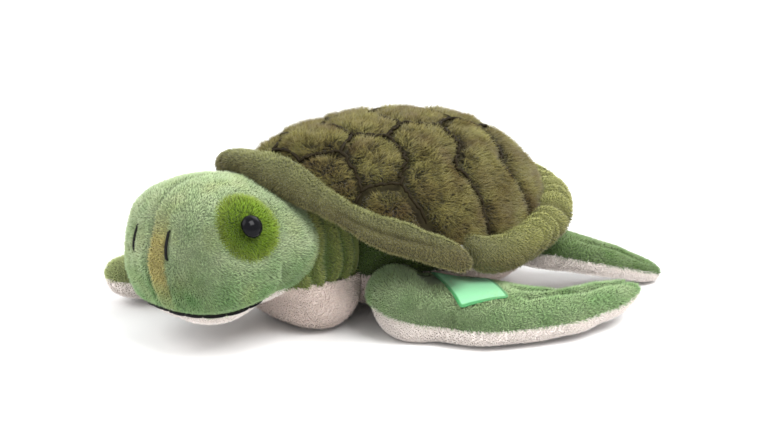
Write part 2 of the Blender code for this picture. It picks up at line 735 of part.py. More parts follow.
def make_face_stitches():
    """The mouth's sewn line round the muzzle, and an upright stitched bar for each nostril."""
    nose = -HEAD_PIVOT_FORWARD - HEAD_FRONT_REACH
    mouth_length = -MOUTH_CORNER_FORWARD - nose + CUT_OVERRUN
    slant = math.atan2(MOUTH_RISE, HEAD_FRONT_REACH + HEAD_HALF_WIDTH)
    centre_y = -MOUTH_CORNER_FORWARD - mouth_length / 2
    frame = Matrix.Translation((0, centre_y, mouth_height(centre_y))) @ Matrix.Rotation(slant, 4, "X")
    band = plate("cutter_mouth_band", (3 * HEAD_HALF_WIDTH, mouth_length, MOUTH_STITCH_WIDTH), frame)
    core = whole_form("cutter_stitch_core", head_place, SEAM_GAP, HEAD_FACETS, "Y")
    mouth = whole_form("mouth_stitch", head_place, SEAM_GAP + THREAD_PROUD, HEAD_FACETS, "Y", THREAD)
    keep(mouth, band)
    cut(mouth, core)
    for side, sign in MIRROR.items():
        centre = Matrix.Translation((sign * NOSTRIL_SPACING / 2, nose, NOSTRIL_HEIGHT))
        bar = plate(f"cutter_nostril_{side}", (NOSTRIL_WIDTH, HEAD_FRONT_REACH, NOSTRIL_LENGTH), centre)
        nostril = whole_form(
            f"nostril_stitch_{side}", head_place, SEAM_GAP + THREAD_PROUD, HEAD_FACETS, "Y", THREAD
        )
        keep(nostril, bar)
        cut(nostril, core)


# Limbs


def make_flipper(name, place, facets):
    gap = half_gap(FRONT_SINK)
    above, below = [((0, 0, gap), (0, 0, 1))], [((0, 0, -gap), (0, 0, -1))]
    cover_form(f"{name}_top_cover", place, PLUSH_WALL, facets, "Y", above, GREEN)
    cover_form(f"{name}_under_cover", place, PLUSH_WALL, facets, "Y", below, WHITE)
    whole_form(f"{name}_filling", place, -PLUSH_WALL - SEAM_GAP, facets, "Y", WADDING)


def make_label():
    """A bare satin label with round corners, laid over the top of the left front flipper."""
    limb = front_flipper("left")
    point, sideways = limb.at(LABEL_ALONG / FRONT_LENGTH)
    centre = point - sideways * LABEL_INWARD
    height = FRONT_RISE + CUT_OVERRUN
    angle = math.atan2(sideways.y, sideways.x) + LABEL_TURN
    place = Matrix.Translation(centre) @ Matrix.Rotation(angle, 4, "Z")
    edge = bmesh.new()
    bmesh.ops.create_grid(edge, x_segments=1, y_segments=1, size=0.5)
    edge.transform(place @ Matrix.Diagonal((LABEL_LENGTH, LABEL_WIDTH, 1, 1)))
    bmesh.ops.bevel(
        edge, geom=edge.verts[:], offset=LABEL_CORNER, affect="VERTICES", segments=3, profile=0.5, material=-1
    )
    raised = bmesh.ops.extrude_face_region(edge, geom=edge.faces[:])
    lifted = [item for item in raised["geom"] if isinstance(item, bmesh.types.BMVert)]
    bmesh.ops.translate(edge, verts=lifted, vec=(0, 0, height))
    cutter = to_object("cutter_label_edge", edge, None)
    label = whole_form("satin_label", limb.place, SEAM_GAP + LABEL_THICKNESS, FRONT_FACETS, "Y", SATIN)
    core = whole_form("cutter_label_core", limb.place, SEAM_GAP, FRONT_FACETS, "Y")
    keep(label, cutter)
    cut(label, core)


def make_limbs():
    for side in MIRROR:
        make_flipper(f"front_{side}_flipper", mirrored(front_flipper(side).place, side), FRONT_FACETS)
        make_flipper(f"hind_{side}_flipper", mirrored(hind_flipper().place, side), HIND_FACETS)
    make_label()


make_torso(pocket_cutters())
make_shell()
make_scute_stitches()
make_rim()
make_neck()
make_head()
make_limbs()
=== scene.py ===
"""The soft surfaces of a plush sea turtle: sewn skins over the stuffing, and the pile that grows on them.

The turtle lies on its belly at Z = 0 with its head towards -Y and its left side towards +X. Each skin is a
form: a unit ball whose directions are placed on the piece's own shape, cut along its seams. Pile grows on
the outside of each skin, longer on the shell than on the body, and the eyes, threads and label lie on it.
"""

import json
import math

import bmesh
import bpy
import numpy as np
from mathutils import Matrix, Vector, kdtree, noise

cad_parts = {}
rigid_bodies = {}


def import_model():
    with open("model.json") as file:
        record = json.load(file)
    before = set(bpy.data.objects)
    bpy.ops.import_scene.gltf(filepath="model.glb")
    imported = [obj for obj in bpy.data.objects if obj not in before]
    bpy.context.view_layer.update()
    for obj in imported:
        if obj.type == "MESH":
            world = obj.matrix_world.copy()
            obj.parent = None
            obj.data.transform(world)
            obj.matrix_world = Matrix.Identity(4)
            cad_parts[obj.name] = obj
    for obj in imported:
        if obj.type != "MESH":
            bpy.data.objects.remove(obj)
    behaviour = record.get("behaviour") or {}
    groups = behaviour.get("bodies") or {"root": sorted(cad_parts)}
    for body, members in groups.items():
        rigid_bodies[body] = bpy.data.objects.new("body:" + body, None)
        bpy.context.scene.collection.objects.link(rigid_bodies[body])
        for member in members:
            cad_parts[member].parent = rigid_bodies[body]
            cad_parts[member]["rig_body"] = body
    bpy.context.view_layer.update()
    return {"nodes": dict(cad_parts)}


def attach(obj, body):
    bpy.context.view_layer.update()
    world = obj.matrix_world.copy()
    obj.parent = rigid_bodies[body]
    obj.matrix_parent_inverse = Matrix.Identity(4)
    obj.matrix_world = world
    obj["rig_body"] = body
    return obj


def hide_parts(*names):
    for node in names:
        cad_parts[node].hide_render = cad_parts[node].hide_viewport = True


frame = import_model()

MM = 0.001
MIRROR = {"left": 1, "right": -1}

# Torso
TORSO_HALF_WIDTH = 50 * MM
TORSO_FRONT_REACH = 54 * MM
TORSO_REAR_REACH = 87 * MM
TORSO_CENTRE_HEIGHT = 34 * MM
TORSO_RISE = 34 * MM
TORSO_SINK = 1.2 * MM
TORSO_FRONT_FULLNESS = 2.2
TORSO_REAR_FULLNESS = 2.5
TORSO_REAR_DROOP = 8 * MM
BELLY_SEAM_HEIGHT = 27 * MM

# Shell and rim
SHELL_HALF_WIDTH = 78 * MM
SHELL_FRONT_REACH = 90 * MM
SHELL_REAR_REACH = 91 * MM
RIM_FRONT_HEIGHT = 87 * MM
RIM_SIDE_HEIGHT = 40 * MM
RIM_REAR_HEIGHT = 51 * MM
RIM_POWER = 1.3
RIM_SAG = 5 * MM
RIM_SAG_FORWARD = 60 * MM
RIM_SAG_LENGTH = 22 * MM
RIM_FRONT_RADIUS = 6.8 * MM
RIM_SIDE_RADIUS = 8.8 * MM
RIM_REAR_RADIUS = 12 * MM
RIM_CLEFT_FORWARD = 10 * MM
RIM_END_ROUNDING = 9 * MM
RIM_END_REACH = 28 * MM
RIM_COLLAR_WIDTH = 16 * MM
RIM_COLLAR_THINNING = 0.05
DOME_INSET = 16 * MM
SHELL_TOP_HEIGHT = 101.5 * MM
SHELL_UNDER_HEIGHT = 38 * MM
SHELL_UNDER_POWER = 4
SHELL_FULLNESS = 0.88
SCUTE_SPINE_SHARES = (
    (0.15, -0.74), (0.28, -0.56), (0.17, -0.40), (0.31, -0.24), (0.18, -0.06), (0.31, 0.13), (0.17, 0.31),
    (0.26, 0.46), (0.14, 0.62), (0.22, 0.80),
)
SCUTE_SIDE_SHARES = (
    ((0.28, -0.56), (0.54, -0.58), (0.62, -0.76)),
    ((0.54, -0.58), (0.65, -0.39), (0.73, -0.37), (0.88, -0.28)),
    ((0.31, -0.24), (0.56, -0.28), (0.65, -0.39)),
    ((0.31, 0.13), (0.52, 0.13), (0.66, 0.0), (0.92, 0.08)),
    ((0.26, 0.46), (0.55, 0.42), (0.62, 0.36), (0.84, 0.48)),
)

# Neck and head
NECK_PIVOT = Vector((0, -72 * MM, 42 * MM))
NECK_RADIUS = 40.5 * MM
NECK_HALF_WIDTH = 37 * MM
NECK_FULLNESS = 2.6
THROAT_SEAM_HEIGHT = 30 * MM
HEAD_PIVOT = Vector((0, -105 * MM, 49.5 * MM))
HEAD_HALF_WIDTH = 48 * MM
HEAD_FRONT_REACH = 48.5 * MM
HEAD_HALF_HEIGHT = 32.5 * MM
HEAD_LEAN = math.radians(6)
MUZZLE_FULLNESS = 1.3
MOUTH_FRONT_HEIGHT = 22.6 * MM
MOUTH_RISE = 8 * MM
MOUTH_CORNER_FORWARD = 98 * MM
NOSTRIL_SPACING = 33 * MM
NOSTRIL_LENGTH = 14 * MM
NOSTRIL_HEIGHT = 58 * MM
EYE_TURN = math.radians(17)
EYE_TILT = math.radians(27)
EYE_RADIUS = 5.7 * MM
EYE_DOME = 4 * MM
WASHER_RADIUS = 6 * MM
WASHER_THICKNESS = 1.5 * MM
WASHER_DEPTH = 7 * MM
PATCH_RADIUS = 16 * MM
PATCH_SHIFT = Vector((-1.4 * MM, -1.2 * MM, 0))

# Limbs
FRONT = dict(
    joint=(58 * MM, -20 * MM, 11.5 * MM), root=23 * MM, rise=14 * MM, sink=15 * MM,
    curl=4 * MM, curl_power=3, width_shares=(1.0, 1.27, 1.10, 0.88, 0.82),
)
ROOT_LIFT = 9.5 * MM
FRONT_SIDES = {
    "left": dict(length=119 * MM, thickness_shares=(1.0, 1.0, 0.90, 0.84, 0.66)),
    "right": dict(length=112 * MM, thickness_shares=(1.0, 1.0, 1.05, 1.1, 1.05)),
}
FRONT_HEADINGS = {"left": math.radians(27), "right": math.radians(-84)}
FRONT_TURNS = {"left": math.radians(78), "right": math.radians(12)}
HIND = dict(
    joint=(42 * MM, 70 * MM, 25 * MM), heading=math.radians(60), turn=math.radians(12), length=71 * MM,
    root=18 * MM, rise=9.5 * MM, sink=12 * MM, curl=-20 * MM, curl_power=1.3,
    width_shares=(1.0, 1.22, 1.20, 1.04, 0.85), thickness_shares=(1.0, 1.0, 1.0, 1.0, 0.95),
)
SECTION_FULLNESS = 2.3
TIP_ROUNDNESS = 0.4

LABEL_ALONG = 20 * MM
LABEL_INWARD = 2 * MM
LABEL_TURN = math.radians(32)
LABEL_LENGTH = 42 * MM
LABEL_WIDTH = 27 * MM
LABEL_CORNER = 3 * MM

# Cloth
CLOTH = 0.6 * MM
STUFFING_DEPTH = 7 * MM
NECK_STUFFING_DEPTH = 16 * MM
LIMB_STUFFING_SHARE = 0.65
BAG_FACET = 3.5 * MM
BAG_PRESSURE = 4
BAG_STEPS = 20


def shown(red, green, blue):
    """The colour that shows as these sRGB values."""
    return Vector([((value / 255 + 0.055) / 1.055) ** 2.4 for value in (red, green, blue)])


MINT = shown(198, 211, 168)
LEAF = shown(128, 170, 104)
DEEP = shown(88, 118, 50)
STRAW = shown(182, 184, 104)
OCHRE = shown(206, 192, 118)
CREAM = shown(240, 231, 225)
# A darker, warmer copy of the cream: painted shade for the low belly and throat
PAINTED_SHADE_CREAM = shown(222, 206, 197)
MOSS = shown(120, 110, 62)
BARK = shown(60, 50, 26)
OLIVE = shown(128, 122, 76)
# A lighter copy of the olive: painted light on the top of the rim
PAINTED_LIGHT_OLIVE = shown(140, 144, 92)
LIME = shown(132, 166, 38)


def smooth_step(share):
    share = min(1, max(0, share))
    return share * share * (3 - 2 * share)


def along_table(shares, at):
    spans = len(shares) - 1
    index = min(int(at * spans), spans - 1)
    return shares[index] + (shares[index + 1] - shares[index]) * smooth_step(at * spans - index)


def norm_of(direction, power):
    return sum(abs(value) ** power for value in direction) ** (1 / power)


def on_floor(point, grow):
    point.z = max(point.z, -grow, 0)
    return point


def ripple(point, size, seed=0):
    """A soft unevenness between -1 and 1 that changes over the given size."""
    return noise.noise(point / size + Vector((seed, 2 * seed, 3 * seed)))


def dent(distance, width):
    return math.exp(-((distance / width) ** 2))


# Places of the forms: each takes a unit direction, and how far the form is grown


def torso_place(direction, grow):
    fullness = TORSO_FRONT_FULLNESS if direction[1] < 0 else TORSO_REAR_FULLNESS
    x, y, z = Vector(direction) / norm_of(direction, fullness)
    reach = TORSO_FRONT_REACH if y < 0 else TORSO_REAR_REACH
    drop = TORSO_CENTRE_HEIGHT + TORSO_SINK if z < 0 else TORSO_RISE
    height = TORSO_CENTRE_HEIGHT + (drop + grow) * z - TORSO_REAR_DROOP * max(0, y) ** 2
    return on_floor(Vector(((TORSO_HALF_WIDTH + grow) * x, (reach + grow) * y, height)), grow)


def head_place(direction, grow):
    ahead = max(0, -direction[1])
    power = 2 + MUZZLE_FULLNESS * 4 * ahead * (1 - ahead)
    x, y, z = Vector(direction) / norm_of(direction, power)
    reach = HEAD_FRONT_REACH if y < 0 else HEAD_HALF_WIDTH
    sizes = Vector((HEAD_HALF_WIDTH + grow, reach + grow, HEAD_HALF_HEIGHT + grow))
    return Vector((x, y, z)) * sizes + HEAD_PIVOT


def head_seamed(direction, grow):
    """The head with its points slid along it, so that the mouth's seam runs straight round the muzzle."""
    x, y, z = direction
    ahead = max(0, -y)
    power = 2 + MUZZLE_FULLNESS * 4 * ahead * (1 - ahead)
    if z < 0:
        direction = Vector((x, y, z * norm_of(direction, power))).normalized()
    return head_place(direction, grow)


def neck_place(direction, grow):
    x, y, z = Vector(direction) / norm_of((direction[0], math.hypot(direction[1], direction[2])), NECK_FULLNESS)
    radius = NECK_RADIUS + grow
    return Vector(((NECK_HALF_WIDTH + grow) * x, radius * y, radius * z)) + NECK_PIVOT


def rim_height(y):
    lift, reach = (RIM_FRONT_HEIGHT, -SHELL_FRONT_REACH) if y < 0 else (RIM_REAR_HEIGHT, SHELL_REAR_REACH)
    return RIM_SIDE_HEIGHT + (lift - RIM_SIDE_HEIGHT) * min(1, y / reach) ** RIM_POWER


def rim_radius(y):
    end, reach = (RIM_FRONT_RADIUS, -SHELL_FRONT_REACH) if y < 0 else (RIM_REAR_RADIUS, SHELL_REAR_REACH)
    return RIM_SIDE_RADIUS + (end - RIM_SIDE_RADIUS) * min(1, y / reach)


def rim_point(x, y):
    """The rim's centre line in the plan direction (x, y), and the outward direction there."""
    reach = SHELL_FRONT_REACH if y < 0 else SHELL_REAR_REACH
    centre = Vector((SHELL_HALF_WIDTH * x, reach * y, 0))
    outward = Vector((x / SHELL_HALF_WIDTH, y / reach, 0)).normalized()
    sag = RIM_SAG * dent(centre.y + RIM_SAG_FORWARD, RIM_SAG_LENGTH) * smooth_step(0.5 + 2.5 * x)
    centre.z = rim_height(centre.y) - sag
    return centre, outward


def collar_share(y):
    """How much of the rim's widening towards the dome a place gets: all of it over the neck, none at the sides."""
    return max(0, -y / SHELL_FRONT_REACH) ** 2.2


def shell_place(direction, grow):
    """The dome above the rim's centre line, and the hollow of the lining below it."""
    x, y, z = direction
    across = math.hypot(x, y)
    if across < 1e-6:
        return Vector((0, 0, SHELL_TOP_HEIGHT + grow if z > 0 else SHELL_UNDER_HEIGHT - grow))
    centre, outward = rim_point(x / across, y / across)
    inset = DOME_INSET * collar_share(centre.y) - min(0, grow + 4 * MM)
    edge = centre - outward * (rim_radius(centre.y) * 0.75 + inset)
    if z >= 0:
        spread = across**SHELL_FULLNESS
        height = centre.z + (SHELL_TOP_HEIGHT + grow - centre.z) * z
    else:
        spread = across
        height = centre.z + (SHELL_UNDER_HEIGHT - grow - centre.z) * (1 - across * across) ** SHELL_UNDER_POWER
    return Vector((edge.x * spread, edge.y * spread, height))


class Flipper:
    """A limb whose root is turned about its joint, and which swells, curves and thins towards the tip."""

    def __init__(self, joint, heading, turn, length, root, rise, sink, curl, curl_power, width_shares,
                 thickness_shares):
        self.joint, self.length, self.turn = Vector(joint), length, turn
        self.root, self.rise, self.sink, self.curl, self.curl_power = root, rise, sink, curl, curl_power
        self.width_shares, self.thickness_shares = width_shares, thickness_shares
        self.ahead = Vector((math.cos(heading), math.sin(heading), 0))
        self.level = Vector((self.ahead.y, -self.ahead.x, 0))

    def at(self, share, grow=0):
        reach = self.length + grow
        angle = self.turn * share
        point = self.joint + self.ahead * (reach / self.turn * math.sin(angle))
        point -= self.level * (reach / self.turn * (1 - math.cos(angle)))
        point.z += self.curl * share**self.curl_power
        return point, self.level * math.cos(angle) + self.ahead * math.sin(angle)

    def place(self, direction, grow):
        aside, ahead, up = direction
        drop = self.rise if up > 0 else self.sink
        if ahead < 0:
            full = 1 / norm_of((math.hypot(aside, ahead), up), SECTION_FULLNESS)
            point = self.joint + (self.level * aside + self.ahead * ahead) * (self.root + grow) * full
            point.z += (drop + grow) * up * full
        else:
            point, sideways = self.at(ahead, grow)
            ring = math.sqrt(max(0, 1 - ahead * ahead))
            full = ring ** (1 - TIP_ROUNDNESS * ahead) / max(norm_of((aside, up), SECTION_FULLNESS), 1e-9)
            width = (self.root + grow) * along_table(self.width_shares, ahead)
            point += sideways * width * aside * full
            point.z += (drop + grow) * along_table(self.thickness_shares, ahead) * up * full
        return on_floor(point, grow)


def root_lifted(place):
    """The left front flipper's root, whose forward edge is raised off the floor against the belly."""
    joint = Vector(FRONT["joint"])

    def lifted(direction, grow):
        point = place(direction, grow)
        away = point - joint
        ahead = smooth_step(-(0.55 * away.x + 0.83 * away.y + 2 * MM) / (26 * MM))
        point.z += ahead * (ROOT_LIFT - 0.2 * point.z)
        return point

    return lifted


def limb_of(end, side):
    if end == "front":
        return Flipper(heading=FRONT_HEADINGS[side], turn=FRONT_TURNS[side], **FRONT, **FRONT_SIDES[side])
    return Flipper(**HIND)


def mirrored(place, side):
    if MIRROR[side] > 0:
        return place
    return lambda direction, grow: place(direction, grow) * Vector((-1, 1, 1))


# Materials


def socket_of(tree, name, side, kind, value=None):
    made = tree.interface.new_socket(name, in_out=side, socket_type=kind)
    if value is not None:
        made.default_value = value


def add_node(tree, kind, values=None, **settings):
    """A node with its settings, and its inputs by name or number: another node's output, or a value."""
    made = tree.nodes.new(kind)
    for name, value in settings.items():
        setattr(made, name, value)
    for socket, value in (values or {}).items():
        if isinstance(value, bpy.types.NodeSocket):
            tree.links.new(value, made.inputs[socket])
        else:
            made.inputs[socket].default_value = value
    return made


def pile_colour_group():
    """Colour of pile: painted shade at its roots, lightening towards the tips, uneven from hair to hair and from tuft
    to tuft.
    """
    tree = bpy.data.node_groups.new("pile_colour", "ShaderNodeTree")
    socket_of(tree, "Tint", "INPUT", "NodeSocketColor")
    socket_of(tree, "Root Shade", "INPUT", "NodeSocketFloat", 0.5)
    socket_of(tree, "Unevenness", "INPUT", "NodeSocketFloat", 0.4)
    socket_of(tree, "Colour", "OUTPUT", "NodeSocketColor")
    given = add_node(tree, "NodeGroupInput").outputs
    height = add_node(tree, "ShaderNodeAttribute", attribute_name="height").outputs["Fac"]
    hair = add_node(tree, "ShaderNodeAttribute", attribute_name="hair").outputs["Fac"]
    place = add_node(tree, "ShaderNodeTexCoord").outputs["Object"]
    tufts = add_node(tree, "ShaderNodeTexNoise", {"Vector": place, "Scale": 160.0, "Detail": 3.0})
    # painted shade: the colour rises from Root Shade at the root to a little over full at the tip
    rise = add_node(tree, "ShaderNodeMapRange", {"Value": height, "To Min": given["Root Shade"], "To Max": 1.12})
    both = add_node(tree, "ShaderNodeMath", {0: tufts.outputs["Fac"], 1: hair}, operation="ADD")
    spread = add_node(tree, "ShaderNodeMath", {0: both.outputs[0], 1: 1.0}, operation="SUBTRACT")
    swing = add_node(tree, "ShaderNodeMath", {0: spread.outputs[0], 1: given["Unevenness"], 2: 1.0},
                     operation="MULTIPLY_ADD")
    bright = add_node(tree, "ShaderNodeMath", {0: rise.outputs[0], 1: swing.outputs[0]}, operation="MULTIPLY")
    colour = add_node(tree, "ShaderNodeVectorMath", {0: given["Tint"], "Scale": bright.outputs[0]},
                      operation="SCALE")
    add_node(tree, "NodeGroupOutput", {"Colour": colour.outputs[0]})
    return tree


PILE_COLOUR = pile_colour_group()


def new_material(name, **inputs):
    made = bpy.data.materials.new(name)
    made.use_nodes = True
    shader = made.node_tree.nodes["Principled BSDF"]
    for socket, value in inputs.items():
        shader.inputs[socket.replace("_", " ")].default_value = value
    return made, made.node_tree, shader


def plush_material(name, root_shade, unevenness, sheen):
    made, tree, shader = new_material(
        name, Roughness=0.9, Specular_IOR_Level=0.2, Sheen_Weight=sheen, Sheen_Roughness=0.5
    )
    tint = add_node(tree, "ShaderNodeAttribute", attribute_name="tint").outputs["Color"]
    group = add_node(tree, "ShaderNodeGroup", node_tree=PILE_COLOUR)
    tree.links.new(tint, group.inputs["Tint"])
    group.inputs["Root Shade"].default_value = root_shade
    group.inputs["Unevenness"].default_value = unevenness
    tree.links.new(group.outputs["Colour"], shader.inputs["Base Color"])
    return made


def thread_material(name, colour):
    """Floss: fine fibres from a small noise over the thread, with a matching bump."""
    made, tree, shader = new_material(name, Roughness=0.6, Specular_IOR_Level=0.1)
    place = add_node(tree, "ShaderNodeTexCoord").outputs["Object"]
    fibres = add_node(tree, "ShaderNodeTexNoise", {"Vector": place, "Scale": 900.0, "Detail": 2.0})
    blend = add_node(tree, "ShaderNodeMix", {"Factor": fibres.outputs["Fac"], 6: (*(colour * 0.5), 1),
                                             7: (*(colour * 1.6), 1)}, data_type="RGBA")
    tree.links.new(blend.outputs[2], shader.inputs["Base Color"])
    bump = add_node(tree, "ShaderNodeBump", {"Height": fibres.outputs["Fac"], "Distance": 0.2 * MM})
    tree.links.new(bump.outputs[0], shader.inputs["Normal"])
    return made


def wadding_material():
    """Loose white fibre."""
    made, tree, shader = new_material("loose_wadding", Roughness=0.95, Sheen_Weight=0.2)
    place = add_node(tree, "ShaderNodeTexCoord").outputs["Object"]
    fibres = add_node(tree, "ShaderNodeTexNoise", {"Vector": place, "Scale": 250.0, "Detail": 6.0})
    blend = add_node(tree, "ShaderNodeMix", {"Factor": fibres.outputs["Fac"], 6: (0.6, 0.6, 0.58, 1),
                                             7: (0.88, 0.88, 0.86, 1)}, data_type="RGBA")
    tree.links.new(blend.outputs[2], shader.inputs["Base Color"])
    bump = add_node(tree, "ShaderNodeBump", {"Height": fibres.outputs["Fac"], "Distance": 1 * MM})
    tree.links.new(bump.outputs[0], shader.inputs["Normal"])
    return made


def eye_material():
    """Glossy black plastic with the faintest dust."""
    made, tree, shader = new_material(
        "glossy_black_eye", Base_Color=(0.004, 0.004, 0.005, 1), Specular_IOR_Level=0.09
    )
    place = add_node(tree, "ShaderNodeTexCoord").outputs["Object"]
    dust = add_node(tree, "ShaderNodeTexNoise", {"Vector": place, "Scale": 400.0, "Detail": 4.0})
    rough = add_node(tree, "ShaderNodeMapRange", {"Value": dust.outputs["Fac"], "To Min": 0.08, "To Max": 0.16})
    tree.links.new(rough.outputs[0], shader.inputs["Roughness"])
    return made


def washer_material():
    made, tree, shader = new_material("white_moulded_washer", Base_Color=(0.8, 0.8, 0.78, 1))
    place = add_node(tree, "ShaderNodeTexCoord").outputs["Object"]
    grain = add_node(tree, "ShaderNodeTexNoise", {"Vector": place, "Scale": 900.0})
    rough = add_node(tree, "ShaderNodeMapRange", {"Value": grain.outputs["Fac"], "To Min": 0.4, "To Max": 0.6})
    tree.links.new(rough.outputs[0], shader.inputs["Roughness"])
    return made


def satin_material():
    """Pale green satin with a darker woven edge, finely ribbed along its length."""
    made, tree, shader = new_material(
        "pale_green_satin", Roughness=0.38, Specular_IOR_Level=0.5, Sheen_Weight=0.2, Anisotropic=0.5
    )
    cloth = add_node(tree, "ShaderNodeUVMap", uv_map="label_cloth").outputs[0]
    parts = add_node(tree, "ShaderNodeSeparateXYZ", {0: cloth})
    ribs = add_node(tree, "ShaderNodeTexWave", {"Vector": cloth, "Scale": 45.0, "Distortion": 0.4},
                    bands_direction="Y")
    edge = None
    for socket in (0, 1):
        centred = add_node(tree, "ShaderNodeMath", {0: parts.outputs[socket], 1: 0.5}, operation="SUBTRACT")
        aside = add_node(tree, "ShaderNodeMath", {0: centred.outputs[0]}, operation="ABSOLUTE")
        step = add_node(tree, "ShaderNodeMapRange", {"Value": aside.outputs[0], "From Min": 0.43 + 0.02 * (1 - socket),
                                                     "From Max": 0.46 + 0.015 * (1 - socket)})
        edge = step.outputs[0] if edge is None else add_node(
            tree, "ShaderNodeMath", {0: edge, 1: step.outputs[0]}, operation="MAXIMUM").outputs[0]
    middle = add_node(tree, "ShaderNodeMix", {"Factor": ribs.outputs["Fac"], 6: (*shown(134, 208, 154), 1),
                                              7: (*shown(148, 220, 168), 1)}, data_type="RGBA")
    both = add_node(tree, "ShaderNodeMix", {"Factor": edge, 6: middle.outputs[2], 7: (*shown(52, 138, 76), 1)},
                    data_type="RGBA")
    tree.links.new(both.outputs[2], shader.inputs["Base Color"])
    bump = add_node(tree, "ShaderNodeBump", {"Height": ribs.outputs["Fac"], "Distance": 0.05 * MM})
    tree.links.new(bump.outputs[0], shader.inputs["Normal"])
    return made


GREEN_PLUSH = plush_material("soft_green_plush", 0.5, 0.34, 0.15)
WHITE_PLUSH = plush_material("soft_white_plush", 0.88, 0.08, 0.1)
SHELL_FUR = plush_material("soft_shell_fur", 0.36, 0.58, 0.1)
OLIVE_PLUSH = plush_material("soft_olive_plush", 0.5, 0.36, 0.15)
LIME_PLUSH = plush_material("soft_lime_plush", 0.45, 0.45, 0.1)
BLACK_THREAD = thread_material("black_floss", Vector((0.006, 0.006, 0.006)))
BROWN_THREAD = thread_material("brown_floss", BARK * 0.3)
WADDING = wadding_material()


# Making pieces


def finish_piece(name, mesh_data, material, body, nodes=()):
    made = bpy.data.objects.new(name, mesh_data)
    bpy.context.scene.collection.objects.link(made)
    mesh_data.materials.append(material)
    mesh_data.shade_smooth()
    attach(made, body)
    if nodes:
        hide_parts(*nodes)
    return made


def unit_ball(segments, rings, poles):
    turn = {
        "X": Matrix.Rotation(math.radians(90), 4, "Y"),
        "Y": Matrix.Rotation(math.radians(-90), 4, "X"),
        "Z": Matrix.Identity(4),
    }
    shape = bmesh.new()
    bmesh.ops.create_uvsphere(shape, u_segments=segments, v_segments=rings, radius=1, matrix=turn[poles])
    return shape


def face_outwards(shape, centre):
    """Turns the faces of an open or closed skin away from a point inside it."""
    bmesh.ops.recalc_face_normals(shape, faces=shape.faces[:])
    facing = sum(face.normal.dot(face.calc_center_median() - centre) * face.calc_area() for face in shape.faces)
    if facing < 0:
        bmesh.ops.reverse_faces(shape, faces=shape.faces[:])


def cut_seams(shape, seams):
    for point, normal in seams:
        bmesh.ops.bisect_plane(
            shape, geom=shape.verts[:] + shape.edges[:] + shape.faces[:], plane_co=point, plane_no=normal,
            dist=1e-5, clear_inner=True,
        )


def dress(shape, style):
    """Writes what the pile needs on each point of a skin: where it grows, its length, its lie and its colour."""
    growth = shape.verts.layers.float.new("growth")
    length = shape.verts.layers.float.new("length")
    lie = shape.verts.layers.float_vector.new("lie")
    tint = shape.verts.layers.float_color.new("tint")
    for vertex in shape.verts:
        grown, long, combed, colour = style(vertex.co, vertex.normal)
        vertex[growth] = grown
        vertex[length] = long
        vertex[lie] = combed
        vertex[tint] = (*colour, 1)
    return growth


def sew_skin(name, shape, centre, relief, style, material, body, nodes, open_edge):
    """A skin of cloth: its relief is pressed in, its pile is planned, and it is given its thickness."""
    face_outwards(shape, centre)
    shape.normal_update()
    if relief:
        moves = [relief(vertex.co) for vertex in shape.verts]
        for vertex, move in zip(shape.verts, moves):
            vertex.co += vertex.normal * move
            vertex.co.z = max(vertex.co.z, 0.4 * MM)
        shape.normal_update()
    growth = dress(shape, style)
    if open_edge:
        lining = bmesh.ops.extrude_face_region(shape, geom=shape.faces[:], use_keep_orig=True)
        inner = [item for item in lining["geom"] if isinstance(item, bmesh.types.BMVert)]
        for vertex in inner:
            vertex.co -= vertex.normal * CLOTH
            vertex[growth] = 0
        bmesh.ops.recalc_face_normals(shape, faces=shape.faces[:])
        if shape.calc_volume(signed=True) < 0:
            bmesh.ops.reverse_faces(shape, faces=shape.faces[:])
    mesh_data = bpy.data.meshes.new(name)
    shape.to_mesh(mesh_data)
    shape.free()
    return finish_piece(name, mesh_data, material, body, nodes)


def form_skin(name, place, sunk, facets, poles, seams, relief, style, material, body, nodes):
    shape = unit_ball(*facets, poles)
    cut_seams(shape, seams)
    for vertex in shape.verts:
        vertex.co = place(vertex.co.normalized(), -sunk)
    centre = place(Vector((0, 0, 1)), 0).lerp(place(Vector((0, 0, -1)), 0), 0.5)
    return sew_skin(name, shape, centre, relief, style, material, body, nodes, bool(seams))


def stuffing(name, place, depth, facets, poles, body, nodes):
    """A lump of wadding under a skin."""
    shape = unit_ball(*facets, poles)
    for vertex in shape.verts:
        vertex.co = place(vertex.co.normalized(), -depth)
    bmesh.ops.recalc_face_normals(shape, faces=shape.faces[:])
    mesh_data = bpy.data.meshes.new(name)
    shape.to_mesh(mesh_data)
    shape.free()
    return finish_piece(name, mesh_data, WADDING, body, nodes)


# Blown cloth


